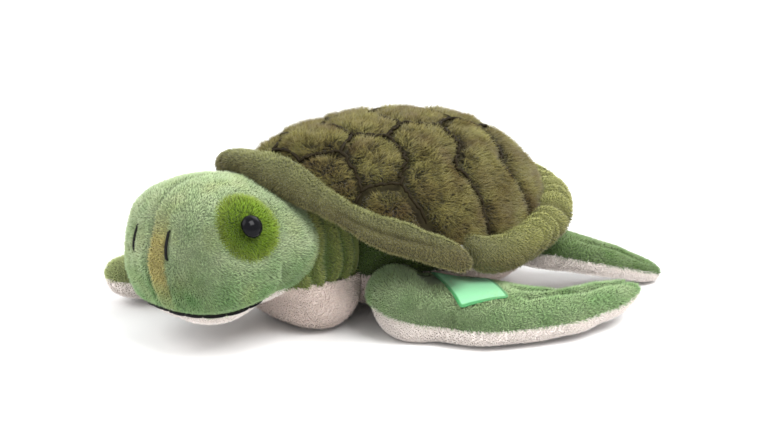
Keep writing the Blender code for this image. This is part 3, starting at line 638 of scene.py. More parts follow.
def blown(place, sunk, facets, poles, sewn, most):
    """Blows up a bag of cloth held along its sewn lines, and gives how far each place on it then stands out."""
    shape = unit_ball(*facets, poles)
    for vertex in shape.verts:
        vertex.co = place(vertex.co.normalized(), -sunk)
    bmesh.ops.recalc_face_normals(shape, faces=shape.faces[:])
    mesh_data = bpy.data.meshes.new("bag")
    shape.to_mesh(mesh_data)
    shape.free()
    bag = bpy.data.objects.new("bag", mesh_data)
    bpy.context.scene.collection.objects.link(bag)
    even = bag.modifiers.new("even", "REMESH")
    even.mode = "VOXEL"
    even.voxel_size = BAG_FACET
    bpy.context.view_layer.update()
    graph = bpy.context.evaluated_depsgraph_get()
    mesh_data = bpy.data.meshes.new_from_object(bag.evaluated_get(graph), depsgraph=graph)
    bag.modifiers.remove(even)
    bag.data = mesh_data
    held = bag.vertex_groups.new(name="held")
    held.add([vertex.index for vertex in mesh_data.vertices if sewn(vertex.co)], 1.0, "REPLACE")
    cloth = bag.modifiers.new("cloth", "CLOTH")
    cloth.settings.vertex_group_mass = "held"
    cloth.settings.use_pressure = True
    cloth.settings.uniform_pressure_force = BAG_PRESSURE
    cloth.settings.effector_weights.gravity = 0
    cloth.point_cache.frame_start = 1
    cloth.point_cache.frame_end = BAG_STEPS
    for step in range(1, BAG_STEPS + 1):
        bpy.context.scene.frame_set(step)
    after = bag.evaluated_get(bpy.context.evaluated_depsgraph_get()).data.vertices
    tree = kdtree.KDTree(len(mesh_data.vertices))
    rises = []
    for vertex in mesh_data.vertices:
        tree.insert(vertex.co, vertex.index)
        rise = (after[vertex.index].co - vertex.co).dot(vertex.normal)
        rises.append(most * math.tanh(rise / most))
    tree.balance()
    bpy.data.objects.remove(bag)
    bpy.data.meshes.remove(mesh_data)
    bpy.context.scene.frame_set(1)
    middle = sum(rises) / len(rises)

    def rise_at(point):
        found = tree.find_n(point, 4)
        weights = [1 / (distance + 0.5 * MM) for _, _, distance in found]
        total = sum(weight * rises[index] for weight, (_, index, _) in zip(weights, found))
        return total / sum(weights) - middle

    return rise_at


# Pile


def strand_nodes(tree, length, thickness, bends, bow):
    """One hair: a closed three-sided spike with its height and its own cell map written on it."""
    cone = add_node(tree, "GeometryNodeMeshCone", {"Vertices": 3, "Side Segments": bends, "Radius Top": 0.0,
                                                   "Radius Bottom": thickness / 2, "Depth": length})
    place = add_node(tree, "GeometryNodeInputPosition")
    parts = add_node(tree, "ShaderNodeSeparateXYZ", {0: place.outputs[0]})
    share = add_node(tree, "ShaderNodeMath", {0: parts.outputs[2], 1: length}, operation="DIVIDE").outputs[0]
    high = add_node(tree, "GeometryNodeStoreNamedAttribute",
                    {"Geometry": cone.outputs["Mesh"], "Name": "height", "Value": share}, data_type="FLOAT")
    cell = add_node(tree, "GeometryNodeStoreNamedAttribute",
                    {"Geometry": high.outputs[0], "Name": "cell", "Value": cone.outputs["UV Map"]},
                    data_type="FLOAT2", domain="CORNER")
    square = add_node(tree, "ShaderNodeMath", {0: share, 1: 2.0}, operation="POWER").outputs[0]
    aside = add_node(tree, "ShaderNodeMath", {0: square, 1: bow}, operation="MULTIPLY").outputs[0]
    offset = add_node(tree, "ShaderNodeCombineXYZ", {0: aside})
    bent = add_node(tree, "GeometryNodeSetPosition", {"Geometry": cell.outputs[0], "Offset": offset.outputs[0]})
    return bent.outputs[0]


def pile_tree(name, density, length, thickness, bends, bow, spread, tufts, seed):
    """Plants hairs over a skin: they lean the way the pile lies, part at random and gather in tufts."""
    tree = bpy.data.node_groups.new(name, "GeometryNodeTree")
    socket_of(tree, "Geometry", "INPUT", "NodeSocketGeometry")
    socket_of(tree, "Geometry", "OUTPUT", "NodeSocketGeometry")

    def read(attribute, kind):
        return add_node(tree, "GeometryNodeInputNamedAttribute", {"Name": attribute}, data_type=kind).outputs[0]

    def chance(low, high, kind, number):
        made = add_node(tree, "FunctionNodeRandomValue", data_type=kind)
        pair = (0, 1) if kind == "FLOAT_VECTOR" else (2, 3)
        made.inputs[pair[0]].default_value = low
        made.inputs[pair[1]].default_value = high
        made.inputs["Seed"].default_value = number
        return made.outputs[0 if kind == "FLOAT_VECTOR" else 1]

    skin = add_node(tree, "NodeGroupInput").outputs[0]
    thick = add_node(tree, "ShaderNodeMath", {0: read("growth", "FLOAT"), 1: density}, operation="MULTIPLY")
    plant = add_node(tree, "GeometryNodeDistributePointsOnFaces",
                     {"Mesh": skin, "Density": thick.outputs[0], "Seed": seed}, distribute_method="RANDOM")
    place = add_node(tree, "GeometryNodeInputPosition").outputs[0]
    waves = add_node(tree, "ShaderNodeTexNoise", {"Vector": place, "Scale": 1 / (6 * MM), "Detail": 1.0})
    centred = add_node(tree, "ShaderNodeVectorMath", {0: waves.outputs["Color"], 1: (0.5, 0.5, 0.5)},
                       operation="SUBTRACT")
    gather = add_node(tree, "ShaderNodeVectorMath", {0: centred.outputs[0], "Scale": tufts}, operation="SCALE")
    lie = add_node(tree, "ShaderNodeVectorMath", {0: read("lie", "FLOAT_VECTOR"), 1: gather.outputs[0]},
                   operation="ADD")
    loose = add_node(tree, "ShaderNodeVectorMath",
                     {0: lie.outputs[0], 1: chance((-spread,) * 3, (spread,) * 3, "FLOAT_VECTOR", seed + 1)},
                     operation="ADD")
    aim = add_node(tree, "ShaderNodeVectorMath", {0: plant.outputs["Normal"], 1: loose.outputs[0]},
                   operation="ADD")
    upright = add_node(tree, "FunctionNodeAlignRotationToVector", {"Vector": aim.outputs[0]}, axis="Z")
    turned = add_node(tree, "FunctionNodeAlignRotationToVector",
                      {"Rotation": upright.outputs[0], "Vector": loose.outputs[0]}, axis="X", pivot_axis="Z")
    longs = add_node(tree, "ShaderNodeMath",
                     {0: read("length", "FLOAT"), 1: chance(0.7, 1.15, "FLOAT", seed + 2)}, operation="MULTIPLY")
    wide = chance(0.75, 1.25, "FLOAT", seed + 3)
    size = add_node(tree, "ShaderNodeCombineXYZ", {0: wide, 1: wide, 2: longs.outputs[0]})
    hairs = add_node(tree, "GeometryNodeInstanceOnPoints",
                     {"Points": plant.outputs["Points"], "Rotation": turned.outputs[0], "Scale": size.outputs[0],
                      "Instance": strand_nodes(tree, length, thickness, bends, bow)})
    number = add_node(tree, "GeometryNodeInputIndex").outputs[0]
    tone = add_node(tree, "GeometryNodeStoreNamedAttribute",
                    {"Geometry": hairs.outputs[0], "Name": "hair", "Value": chance(0.0, 1.0, "FLOAT", seed + 4)},
                    data_type="FLOAT", domain="INSTANCE")
    numbered = add_node(tree, "GeometryNodeStoreNamedAttribute",
                        {"Geometry": tone.outputs[0], "Name": "number", "Value": number},
                        data_type="FLOAT", domain="INSTANCE")
    whole = add_node(tree, "GeometryNodeRealizeInstances", {"Geometry": numbered.outputs[0]}).outputs[0]
    count = add_node(tree, "GeometryNodeAttributeDomainSize", {"Geometry": plant.outputs["Points"]},
                     component="POINTCLOUD").outputs["Point Count"]
    root = add_node(tree, "ShaderNodeMath", {0: count}, operation="SQRT").outputs[0]
    across = add_node(tree, "ShaderNodeMath", {0: root}, operation="CEIL").outputs[0]
    which = read("number", "FLOAT")
    column = add_node(tree, "ShaderNodeMath", {0: which, 1: across}, operation="MODULO").outputs[0]
    ratio = add_node(tree, "ShaderNodeMath", {0: which, 1: across}, operation="DIVIDE").outputs[0]
    row = add_node(tree, "ShaderNodeMath", {0: ratio}, operation="FLOOR").outputs[0]
    corner = add_node(tree, "ShaderNodeCombineXYZ", {0: column, 1: row}).outputs[0]
    inner = add_node(tree, "ShaderNodeVectorMath", {0: read("cell", "FLOAT_VECTOR"), 1: corner}, operation="ADD")
    part = add_node(tree, "ShaderNodeMath", {0: 1.0, 1: across}, operation="DIVIDE").outputs[0]
    spot = add_node(tree, "ShaderNodeVectorMath", {0: inner.outputs[0], "Scale": part}, operation="SCALE")
    mapped = add_node(tree, "GeometryNodeStoreNamedAttribute",
                      {"Geometry": whole, "Name": "OFBake", "Value": spot.outputs[0]},
                      data_type="FLOAT2", domain="CORNER")
    add_node(tree, "NodeGroupOutput", {0: mapped.outputs[0]})
    return tree


def grow_pile(skin, seed, density, length, thickness=0.5 * MM, bends=1, bow=0.0, spread=0.35, tufts=0.8,
              coat=1):
    """A coat of hairs of real length on a skin, made into a mesh of its own that rides with it."""
    step = skin.modifiers.new("pile", "NODES")
    step.node_group = pile_tree(f"{skin.name}_pile", density, length, thickness, bends, bow, spread, tufts, seed)
    bpy.context.view_layer.update()
    graph = bpy.context.evaluated_depsgraph_get()
    mesh_data = bpy.data.meshes.new_from_object(
        skin.evaluated_get(graph), preserve_all_data_layers=True, depsgraph=graph
    )
    skin.modifiers.remove(step)
    for name in ("cell", "number", "growth", "length", "lie"):
        layer = mesh_data.attributes.get(name)
        if layer:
            mesh_data.attributes.remove(layer)
    mesh_data.materials.clear()
    name = skin.name.replace("_cloth", "_pile" if coat == 1 else f"_pile_{coat}")
    return finish_piece(name, mesh_data, skin.data.materials[0], skin["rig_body"])


# Threads


def floss(name, paths, radius, material, body, nodes):
    """Stitches of floss: each path is a round thread, tapered at its two ends where it dives into the cloth."""
    curve = bpy.data.curves.new(name, "CURVE")
    curve.dimensions = "3D"
    curve.bevel_depth = radius
    curve.bevel_resolution = 2
    curve.use_fill_caps = True
    for path in paths:
        line = curve.splines.new("POLY")
        line.points.add(len(path) - 1)
        for spot, (point, width) in zip(line.points, path):
            spot.co = (*point, 1)
            spot.radius = width
    made = bpy.data.objects.new(name, curve)
    bpy.context.scene.collection.objects.link(made)
    bpy.context.view_layer.update()
    mesh_data = bpy.data.meshes.new_from_object(made.evaluated_get(bpy.context.evaluated_depsgraph_get()))
    bpy.data.objects.remove(made)
    mesh_data.materials.clear()
    return finish_piece(name, mesh_data, material, body, nodes)


def stitch_run(spots, dip):
    """A stitch over a run of spots, thin and sunk where it enters and leaves the cloth."""
    last = len(spots) - 1
    run = []
    for index, (point, outward) in enumerate(spots):
        rise = math.sin(math.pi * index / last) ** 0.35
        run.append((point + outward * dip * (rise - 1), 0.45 + 0.55 * rise))
    return run


# Camera, floor and lamps


def set_camera():
    view = bpy.data.cameras.new("camera")
    view.sensor_width = 36
    view.lens = 83.25
    view.shift_x = -12 / 760
    view.shift_y = 5.5 / 760
    camera = bpy.data.objects.new("camera", view)
    bpy.context.scene.collection.objects.link(camera)
    azimuth, elevation = math.radians(52), math.radians(16)
    back = Vector((
        math.sin(azimuth) * math.cos(elevation), -math.cos(azimuth) * math.cos(elevation), math.sin(elevation)
    ))
    camera.location = Vector((0, 0, 0.045)) + back * 0.95
    camera.rotation_euler = back.to_track_quat("Z", "Y").to_euler()
    bpy.context.scene.camera = camera


def set_floor():
    """A pale floor that shows white to the camera and keeps the turtle's soft shadow."""
    shape = bmesh.new()
    bmesh.ops.create_grid(shape, x_segments=1, y_segments=1, size=4)
    mesh_data = bpy.data.meshes.new("floor")
    shape.to_mesh(mesh_data)
    shape.free()
    floor = bpy.data.objects.new("floor", mesh_data)
    bpy.context.scene.collection.objects.link(floor)
    made, tree, shader = new_material("pale_floor", Base_Color=(0.93, 0.93, 0.93, 1), Roughness=0.6,
                                      Specular_IOR_Level=0.1)
    mesh_data.materials.append(made)


def set_lamps():
    world = bpy.data.worlds.new("studio")
    bpy.context.scene.world = world
    world.use_nodes = True
    tree = world.node_tree
    room = tree.nodes["Background"]
    room.inputs["Color"].default_value = (1, 1, 1, 1)
    room.inputs["Strength"].default_value = 0.95
    seen = add_node(tree, "ShaderNodeBackground", {"Color": (1, 1, 1, 1), "Strength": 1.0})
    path = add_node(tree, "ShaderNodeLightPath")
    direct = add_node(tree, "ShaderNodeMath", {0: path.outputs["Is Camera Ray"], 1: path.outputs["Is Glossy Ray"]},
                      operation="MAXIMUM")
    shown_to = add_node(tree, "ShaderNodeMath", {0: direct.outputs[0], 1: path.outputs["Is Transmission Ray"]},
                        operation="MAXIMUM")
    mixed = add_node(tree, "ShaderNodeMixShader", {0: shown_to.outputs[0], 1: room.outputs[0],
                                                   2: seen.outputs[0]})
    tree.links.new(mixed.outputs[0], tree.nodes["World Output"].inputs[0])
    for name, place, size, power in (
        ("key_lamp", (0.9, 0.1, 1.3), 0.8, 26.0),
        ("fill_lamp", (-0.5, -1.1, 1.1), 1.2, 14.0),
        ("back_lamp", (-0.3, 1.2, 1.2), 1.0, 8.0),
    ):
        lamp = bpy.data.lights.new(name, "AREA")
        lamp.size = size
        lamp.energy = power
        stood = bpy.data.objects.new(name, lamp)
        bpy.context.scene.collection.objects.link(stood)
        stood.location = place
        stood.rotation_euler = (Vector(place) - Vector((0, 0, 0.04))).to_track_quat("Z", "Y").to_euler()
    bpy.context.scene.view_settings.view_transform = "Standard"


set_camera()
set_floor()
set_lamps()


# Torso


def seam_share(height, centre, reach):
    return (height - centre) / reach


def torso_style(point, normal):
    """Green pile combed back, deep green darkened towards bark as painted shade under the rim; under the shell, where
    nothing is seen, it stays bare.
    """
    hidden = point.z > 60 * MM
    # painted shade: deep green pulled towards bark for the side that lies in shadow under the rim
    tone = DEEP.lerp(BARK, 0.3 + 0.2 * ripple(point, 18 * MM))
    return 0 if hidden else 1, 1, Vector((0, 0.5, -0.3)), tone


def lying_share(point):
    """How long the pile is: it is pressed flat where the turtle lies on the floor."""
    return 0.35 + 0.65 * smooth_step((point.z - 0.5 * MM) / (3.5 * MM))


def belly_style(point, normal):
    # the belly takes the darker copy of the cream, as painted shade
    return 1, lying_share(point), Vector((0, 0.5, 0)), PAINTED_SHADE_CREAM * (1 + 0.04 * ripple(point, 12 * MM))


def make_torso():
    seam = seam_share(BELLY_SEAM_HEIGHT, TORSO_CENTRE_HEIGHT, TORSO_CENTRE_HEIGHT + TORSO_SINK)

    def crease(point):
        return -1.2 * MM * dent(point.z - BELLY_SEAM_HEIGHT, 2.5 * MM) + 0.6 * MM * ripple(point, 22 * MM)

    back = form_skin("torso_back_cloth", torso_place, 1.6 * MM, (110, 60), "Z", [((0, 0, seam), (0, 0, 1))], crease,
                     torso_style, GREEN_PLUSH, "torso", ["torso_back_cover"])
    belly = form_skin("belly_cloth", torso_place, 1.6 * MM, (110, 60), "Z", [((0, 0, seam), (0, 0, -1))], crease,
                      belly_style, WHITE_PLUSH, "torso", ["belly_cover"])
    grow_pile(back, 11, 0.9 / MM**2, 2.8 * MM)
    grow_pile(belly, 12, 0.9 / MM**2, 1.6 * MM, 0.62 * MM)
    stuffing("torso_stuffing", torso_place, STUFFING_DEPTH, (40, 20), "Z", "torso", ["torso_filling"])


make_torso()


# Shell


def scute_lines():
    """The sewn lines in the plan of the shell, as pairs of ends."""
    lines = [SCUTE_SPINE_SHARES, *SCUTE_SIDE_SHARES]
    lines += [tuple((-x, y) for x, y in line) for line in lines]
    lines += [((-x, y), (x, y)) for x, y in SCUTE_SPINE_SHARES[::2]]
    placed = []
    for line in lines:
        placed.append([
            Vector((x * SHELL_HALF_WIDTH, y * (SHELL_FRONT_REACH if y < 0 else SHELL_REAR_REACH))) for x, y in line
        ])
    return placed


SCUTE_LINES = scute_lines()
SCUTE_STARTS = np.array([start for line in SCUTE_LINES for start in line[:-1]])
SCUTE_RUNS = np.array([end for line in SCUTE_LINES for end in line[1:]]) - SCUTE_STARTS
SCUTE_SQUARES = (SCUTE_RUNS**2).sum(axis=1)


def from_scute_line(point):
    """How far a point is from the nearest sewn line, and the way to it, in plan."""
    away = np.array(point[:2]) - SCUTE_STARTS
    share = np.clip((away * SCUTE_RUNS).sum(axis=1) / SCUTE_SQUARES, 0, 1)
    gap = SCUTE_RUNS * share[:, None] - away
    distances = np.hypot(gap[:, 0], gap[:, 1])
    nearest = int(distances.argmin())
    return distances[nearest], Vector((*gap[nearest], 0))


def shell_sewn(point):
    return point.z < rim_height(point.y) + 4 * MM or from_scute_line(point)[0] < 3 * MM


SHELL_RISE = blown(shell_place, 3.2 * MM, (120, 60), "Z", shell_sewn, 1.6 * MM)


def shell_relief(point):
    distance, _ = from_scute_line(point)
    return SHELL_RISE(point) + 1.2 * MM - 2.8 * MM * dent(distance, 3.6 * MM) + 0.8 * MM * ripple(point, 14 * MM)


def fur_style(point, normal):
    """Shaggy fur that hangs outwards and back, lies over the sewn lines, and is darkened in them as painted shade in
    their grooves.
    """
    distance, towards = from_scute_line(point)
    parted = smooth_step((abs(point.x) - 13 * MM) / (10 * MM))
    near = dent(distance, 3.2 * MM) * (0.3 + 0.7 * parted)
    outwards = Vector((point.x / SHELL_HALF_WIDTH, point.y / SHELL_REAR_REACH, 0))
    lie = outwards * 0.5 + Vector((0, 0.3, -0.1))
    lie += Vector((ripple(point, 7 * MM, 1), ripple(point, 7 * MM, 2), 0)) * 0.9
    if distance > 0.2 * MM:
        lie -= towards.normalized() * 0.7 * near
    # painted shade: the tone goes towards bark near the sewn lines, in their grooves
    tone = MOSS.lerp(STRAW, 0.06 + 0.34 * ripple(point, 9 * MM, 3)).lerp(BARK, 0.7 * near)
    return 0 if distance < 2.6 * MM * parted else 1, 1 - 0.68 * near, lie, tone


def lining_style(point, normal):
    # painted shade: the olive is darkened to 0.7 for the lining under the shell
    return 1 if point.z < 60 * MM else 0.6, 0.5, Vector((0, 0.4, 0)), OLIVE * 0.7


def height_on(names, x, y):
    """The height of the highest of these skins at a place in plan, and its normal there."""
    best = None
    for name in names:
        hit, spot, normal, _ = bpy.data.objects[name].ray_cast(Vector((x, y, 0.3)), Vector((0, 0, -1)))
        if hit and (best is None or spot.z > best[0].z):
            best = (spot, normal)
    return best


def make_scute_floss():
    """Back stitches along the sewn lines, each sunk into the fur at both ends."""
    paths = []
    stitch = 7 * MM
    for line in SCUTE_LINES:
        for start, end in zip(line, line[1:]):
            run = end - start
            count = max(1, round(run.length / stitch))
            for index in range(count):
                spots = []
                for step in range(9):
                    place = start + run * ((index + step / 8) / count)
                    found = height_on(("shell_left_fur_cloth", "shell_right_fur_cloth"), place.x, place.y)
                    if found:
                        spots.append((found[0] + found[1] * 4.2 * MM, found[1]))
                if len(spots) > 3:
                    paths.append(stitch_run(spots, 0.9 * MM))
    floss("scute_floss", paths, 0.95 * MM, BROWN_THREAD, "torso", ["scute_stitches"])


def make_shell():
    seams = {
        "left": [((0, 0, 0), (0, 0, 1)), ((0, 0, 0), (1, 0, 0))],
        "right": [((0, 0, 0), (0, 0, 1)), ((0, 0, 0), (-1, 0, 0))],
    }
    for side, planes in seams.items():
        nodes = ["shell_fur_cover"]
        skin = form_skin(f"shell_{side}_fur_cloth", shell_place, 3.2 * MM, (200, 90), "Z", planes, shell_relief,
                         fur_style, SHELL_FUR, "torso", nodes)
        for coat, density, bends in ((1, 1.3, 2), (2, 1.6, 1)):
            grow_pile(skin, 20 + 3 * coat * MIRROR[side], density / MM**2, 5.8 * MM, 0.5 * MM, bends,
                      1.6 * MM, 0.38, 1.4, coat)
    lining = form_skin("shell_lining_cloth", shell_place, 0, (90, 40), "Z", [((0, 0, 0), (0, 0, -1))], None,
                       lining_style, OLIVE_PLUSH, "torso", ["shell_lining"])
    grow_pile(lining, 24, 0.25 / MM**2, 2 * MM)
    stuffing("shell_stuffing", shell_place, STUFFING_DEPTH, (48, 24), "Z", "torso", ["shell_wadding"])
    make_scute_floss()


make_shell()


# Rim


def rim_share(point):
    """The way round the rim in plan, and the place in its section, as an angle from outwards."""
    across = Vector((point.x / SHELL_HALF_WIDTH, point.y / (SHELL_FRONT_REACH if point.y < 0 else SHELL_REAR_REACH)))
    centre, outward = rim_point(*across.normalized())
    away = point - centre
    return math.atan2(across.y, across.x), math.atan2(away.z, away.dot(outward)), rim_radius(centre.y)


def rim_fold(point, turn):
    """How deep in the valley of a gather a place is: they run across the roll, close behind the cleft."""
    behind = smooth_step(math.degrees(math.pi / 2 - abs(abs(turn) - math.pi / 2)) / 40)
    wave = 0.5 + 0.5 * math.sin(turn * 46 + 7 * ripple(point, 24 * MM))
    return wave**3 * behind * (1 if point.y > 0 else 0.15)


def rim_crease(point, section, radius):
    """How deep a place is in the crease sewn along the front roll."""
    along = smooth_step(-(point.y + 26 * MM) / (18 * MM)) * smooth_step((point.y + 82 * MM) / (20 * MM))
    return dent(radius * (section - math.radians(20)), 1.7 * MM) * along


def rim_relief(point):
    turn, section, radius = rim_share(point)
    fold = rim_fold(point, turn) * (0.6 + 0.4 * math.cos(section))
    lumps = 0.9 * MM * ripple(point, 14 * MM) + 2.0 * MM * ripple(point, 32 * MM, 4)
    return lumps - 1.4 * MM * rim_crease(point, section, radius) - 3.2 * MM * fold


def rim_style(point, normal):
    turn, section, radius = rim_share(point)
    # painted light: the top of the roll is lighter, and its rear top goes further towards straw
    upper = smooth_step((math.degrees(section) + 30) / 140)
    tone = OLIVE.lerp(PAINTED_LIGHT_OLIVE, 0.8 * upper + 0.3 * ripple(point, 14 * MM))
    behind = smooth_step((point.y + 10 * MM) / (50 * MM))
    tone = tone.lerp(STRAW, 0.65 * behind * smooth_step((math.degrees(section) + 60) / 100))
    # painted shade: the crease and the valleys of the gathers are darkened towards bark
    sewn = max(rim_crease(point, section, radius), rim_fold(point, turn))
    lie = Vector((math.cos(turn), math.sin(turn), 0)) * 0.5 + Vector((0, 0.2, -0.35))
    inner = math.degrees(abs(section)) > 160
    return 0 if inner else 1 - 0.4 * sewn, 1 - 0.5 * sewn, lie, tone.lerp(BARK, 0.5 * sewn)


def sweep_rim(name, share, start, span, steps, sections, end_shift, material, body, nodes, styled):
    """Spins the rim's section round part of a ring, then lays it along the rim's centre line."""
    unit = 0.1
    shape = bmesh.new()
    bmesh.ops.create_circle(
        shape, cap_ends=True, segments=sections, radius=unit * share,
        matrix=Matrix.Rotation(start, 4, "Z") @ Matrix.Translation((1, 0, 0)) @ Matrix.Rotation(math.pi / 2, 4, "X"),
    )
    bmesh.ops.spin(shape, geom=shape.faces[:], cent=(0, 0, 0), axis=(0, 0, 1), angle=span, steps=steps)
    for vertex in shape.verts:
        x, y, z = vertex.co
        across = math.hypot(x, y)
        centre, outward = rim_point(x / across, y / across)
        turned = (math.atan2(y, x) - start) % (2 * math.pi)
        left = min(turned, span - turned, 2 * math.pi - turned) * SHELL_HALF_WIDTH / RIM_END_ROUNDING
        closing = math.sqrt(max(0.02, 1 - (1 - min(1, max(0, left))) ** 2))
        closing *= 1 - RIM_COLLAR_THINNING * collar_share(centre.y)
        shift = smooth_step(1 - left * RIM_END_ROUNDING / RIM_END_REACH)
        centre += (outward * end_shift[0] + Vector((0, 0, end_shift[1]))) * shift
        radius = rim_radius(centre.y) / unit * closing
        aside = (across - 1) * radius
        if aside < 0:
            aside *= 1 + RIM_COLLAR_WIDTH * collar_share(centre.y) / rim_radius(centre.y)
        vertex.co = centre + outward * aside + Vector((0, 0, z * radius))
    bmesh.ops.recalc_face_normals(shape, faces=shape.faces[:])
    if shape.calc_volume(signed=True) < 0:
        bmesh.ops.reverse_faces(shape, faces=shape.faces[:])
    shape.normal_update()
    if styled:
        for vertex, move in [(vertex, rim_relief(vertex.co)) for vertex in shape.verts]:
            vertex.co += vertex.normal * move
        shape.normal_update()
        dress(shape, rim_style)
    mesh_data = bpy.data.meshes.new(name)
    shape.to_mesh(mesh_data)
    shape.free()
    return finish_piece(name, mesh_data, material, body, nodes)


def make_rim():
    cleft = math.asin(RIM_CLEFT_FORWARD / SHELL_FRONT_REACH)
    arcs = {
        "front": (math.pi + cleft + 0.03, math.pi - 2 * cleft - 0.06, 120, (3.5 * MM, -2 * MM)),
        "rear": (-cleft - 0.05, math.pi + 2 * cleft + 0.10, 200, (-3 * MM, 4 * MM)),
    }
    for end, (start, span, steps, shift) in arcs.items():
        skin = sweep_rim(f"rim_{end}_cloth", 0.92, start, span, steps, 40, shift, OLIVE_PLUSH, "torso",
                         [f"rim_{end}_cover"], True)
        grow_pile(skin, 30 + len(end), 1.9 / MM**2, 2.3 * MM, 0.44 * MM)
        sweep_rim(f"rim_{end}_stuffing", 0.55, start, span, 40, 12, shift, WADDING, "torso", [f"rim_{end}_wadding"], False)


make_rim()


# Neck


def neck_fold(point):
    way = (point.y - 0.5 * abs(point.x)) / (1.2 * MM)
    return math.sin(0.8 * way + 5 * ripple(point, 20 * MM))


def neck_relief(point):
    """Upright wrinkles where the cloth gathers behind the head."""
    return 1.6 * MM * neck_fold(point) + 0.6 * MM * ripple(point, 12 * MM)


def inside_form(point, place, centre, sizes, grow):
    away = point - centre
    direction = Vector((away.x / sizes[0], away.y / sizes[1], away.z / sizes[2]))
    if direction.length < 1e-9:
        return True
    return away.length < (place(direction.normalized(), grow) - centre).length


def neck_style(point, normal):
    inside = inside_form(point, head_place, HEAD_PIVOT, (HEAD_HALF_WIDTH, HEAD_HALF_WIDTH, HEAD_HALF_HEIGHT), -6 * MM)
    # painted light and shade: a deep green for the neck in shade, lighter higher up and on the fold crests, darker in
    # the fold valleys
    tone = DEEP.lerp(STRAW, 0.3 + 0.3 * smooth_step((point.z - 45 * MM) / (30 * MM)) + 0.25 * neck_fold(point))
    grown = 0 if inside or point.y > -50 * MM else 1
    return grown, 1, Vector((0, 0.5, -0.3)), tone


def throat_relief(point):
    """The chest is fuller low at its sides, where it meets the roots of the flippers, and hollow under the chin."""
    aside = smooth_step((abs(point.x) - 6 * MM) / (16 * MM))
    full = 9 * MM * aside * dent(point.z - 13 * MM, 13 * MM) * smooth_step((point.y + 84 * MM) / (24 * MM))
    return full - 12 * MM * dent(point.z - 12 * MM, 16 * MM) * smooth_step((-74 * MM - point.y) / (18 * MM))


def throat_style(point, normal):
    inside = inside_form(point, head_place, HEAD_PIVOT, (HEAD_HALF_WIDTH, HEAD_HALF_WIDTH, HEAD_HALF_HEIGHT), -6 * MM)
    # the throat takes the darker copy of the cream, as painted shade
    return 0 if inside or point.y > -40 * MM else 1, 1, Vector((0, 0.4, -0.2)), PAINTED_SHADE_CREAM


def make_neck():
    seam = seam_share(THROAT_SEAM_HEIGHT, NECK_PIVOT.z, NECK_RADIUS)
    nape = form_skin("neck_cloth", neck_place, 1.8 * MM, (100, 72), "X", [((0, 0, seam), (0, 0, 1))], neck_relief,
                     neck_style, GREEN_PLUSH, "neck", ["neck_cover"])
    throat = form_skin("throat_cloth", neck_place, 1.8 * MM, (80, 60), "X", [((0, 0, seam), (0, 0, -1))], throat_relief,
                       throat_style, WHITE_PLUSH, "neck", ["throat_cover"])
    grow_pile(nape, 41, 2.1 / MM**2, 2.4 * MM, 0.44 * MM)
    grow_pile(throat, 42, 1.7 / MM**2, 1.6 * MM, 0.6 * MM)
    stuffing("neck_stuffing", neck_place, NECK_STUFFING_DEPTH, (36, 20), "X", "neck", ["neck_filling"])


make_neck()


# Head


def mouth_height(y):
    nose = HEAD_PIVOT.y - HEAD_FRONT_REACH
    return MOUTH_FRONT_HEIGHT + MOUTH_RISE * (y - nose) / (HEAD_FRONT_REACH + HEAD_HALF_WIDTH)


def mouth_frame():
    rise = MOUTH_RISE / (HEAD_FRONT_REACH + HEAD_HALF_WIDTH)
    height = (mouth_height(HEAD_PIVOT.y) - HEAD_PIVOT.z) / HEAD_HALF_HEIGHT
    slope = rise * HEAD_FRONT_REACH / HEAD_HALF_HEIGHT
    return Vector((0, 0, height)), Vector((0, -slope, 1)).normalized()


def eye_frame(side):
    """The matrix that stands an eye square on the head, with its own +Z pointing out."""
    def seat_at(turn, tilt):
        ray = Vector((math.cos(tilt) * math.cos(turn), -math.cos(tilt) * math.sin(turn), math.sin(tilt)))
        return head_place(ray, 0)

    seat = seat_at(EYE_TURN, EYE_TILT)
    step = EYE_RADIUS / HEAD_HALF_WIDTH
    forward = seat_at(EYE_TURN + step, EYE_TILT) - seat_at(EYE_TURN - step, EYE_TILT)
    upward = seat_at(EYE_TURN, EYE_TILT + step) - seat_at(EYE_TURN, EYE_TILT - step)
    outward = upward.cross(forward).normalized()
    if MIRROR[side] < 0:
        seat, outward = seat * Vector((-1, 1, 1)), outward * Vector((-1, 1, 1))
    return Matrix.Translation(seat) @ outward.to_track_quat("Z", "Y").to_matrix().to_4x4()


EYE_FRAMES = {side: eye_frame(side) for side in MIRROR}
EYE_ROOMS = {side: eye.inverted() for side, eye in EYE_FRAMES.items()}


PATCH_FRAMES = {
    side: eye @ Matrix.Translation((-MIRROR[side] * PATCH_SHIFT.x, -PATCH_SHIFT.y, 0)) for side, eye in EYE_FRAMES.items()
}
PATCH_ROOMS = {side: patch.inverted() for side, patch in PATCH_FRAMES.items()}


def from_axis(point, rooms):
    local = rooms["left" if point.x > 0 else "right"] @ point
    return math.hypot(local.x, local.y)


def from_eye(point):
    return from_axis(point, EYE_ROOMS)


def from_patch(point):
    return from_axis(point, PATCH_ROOMS)


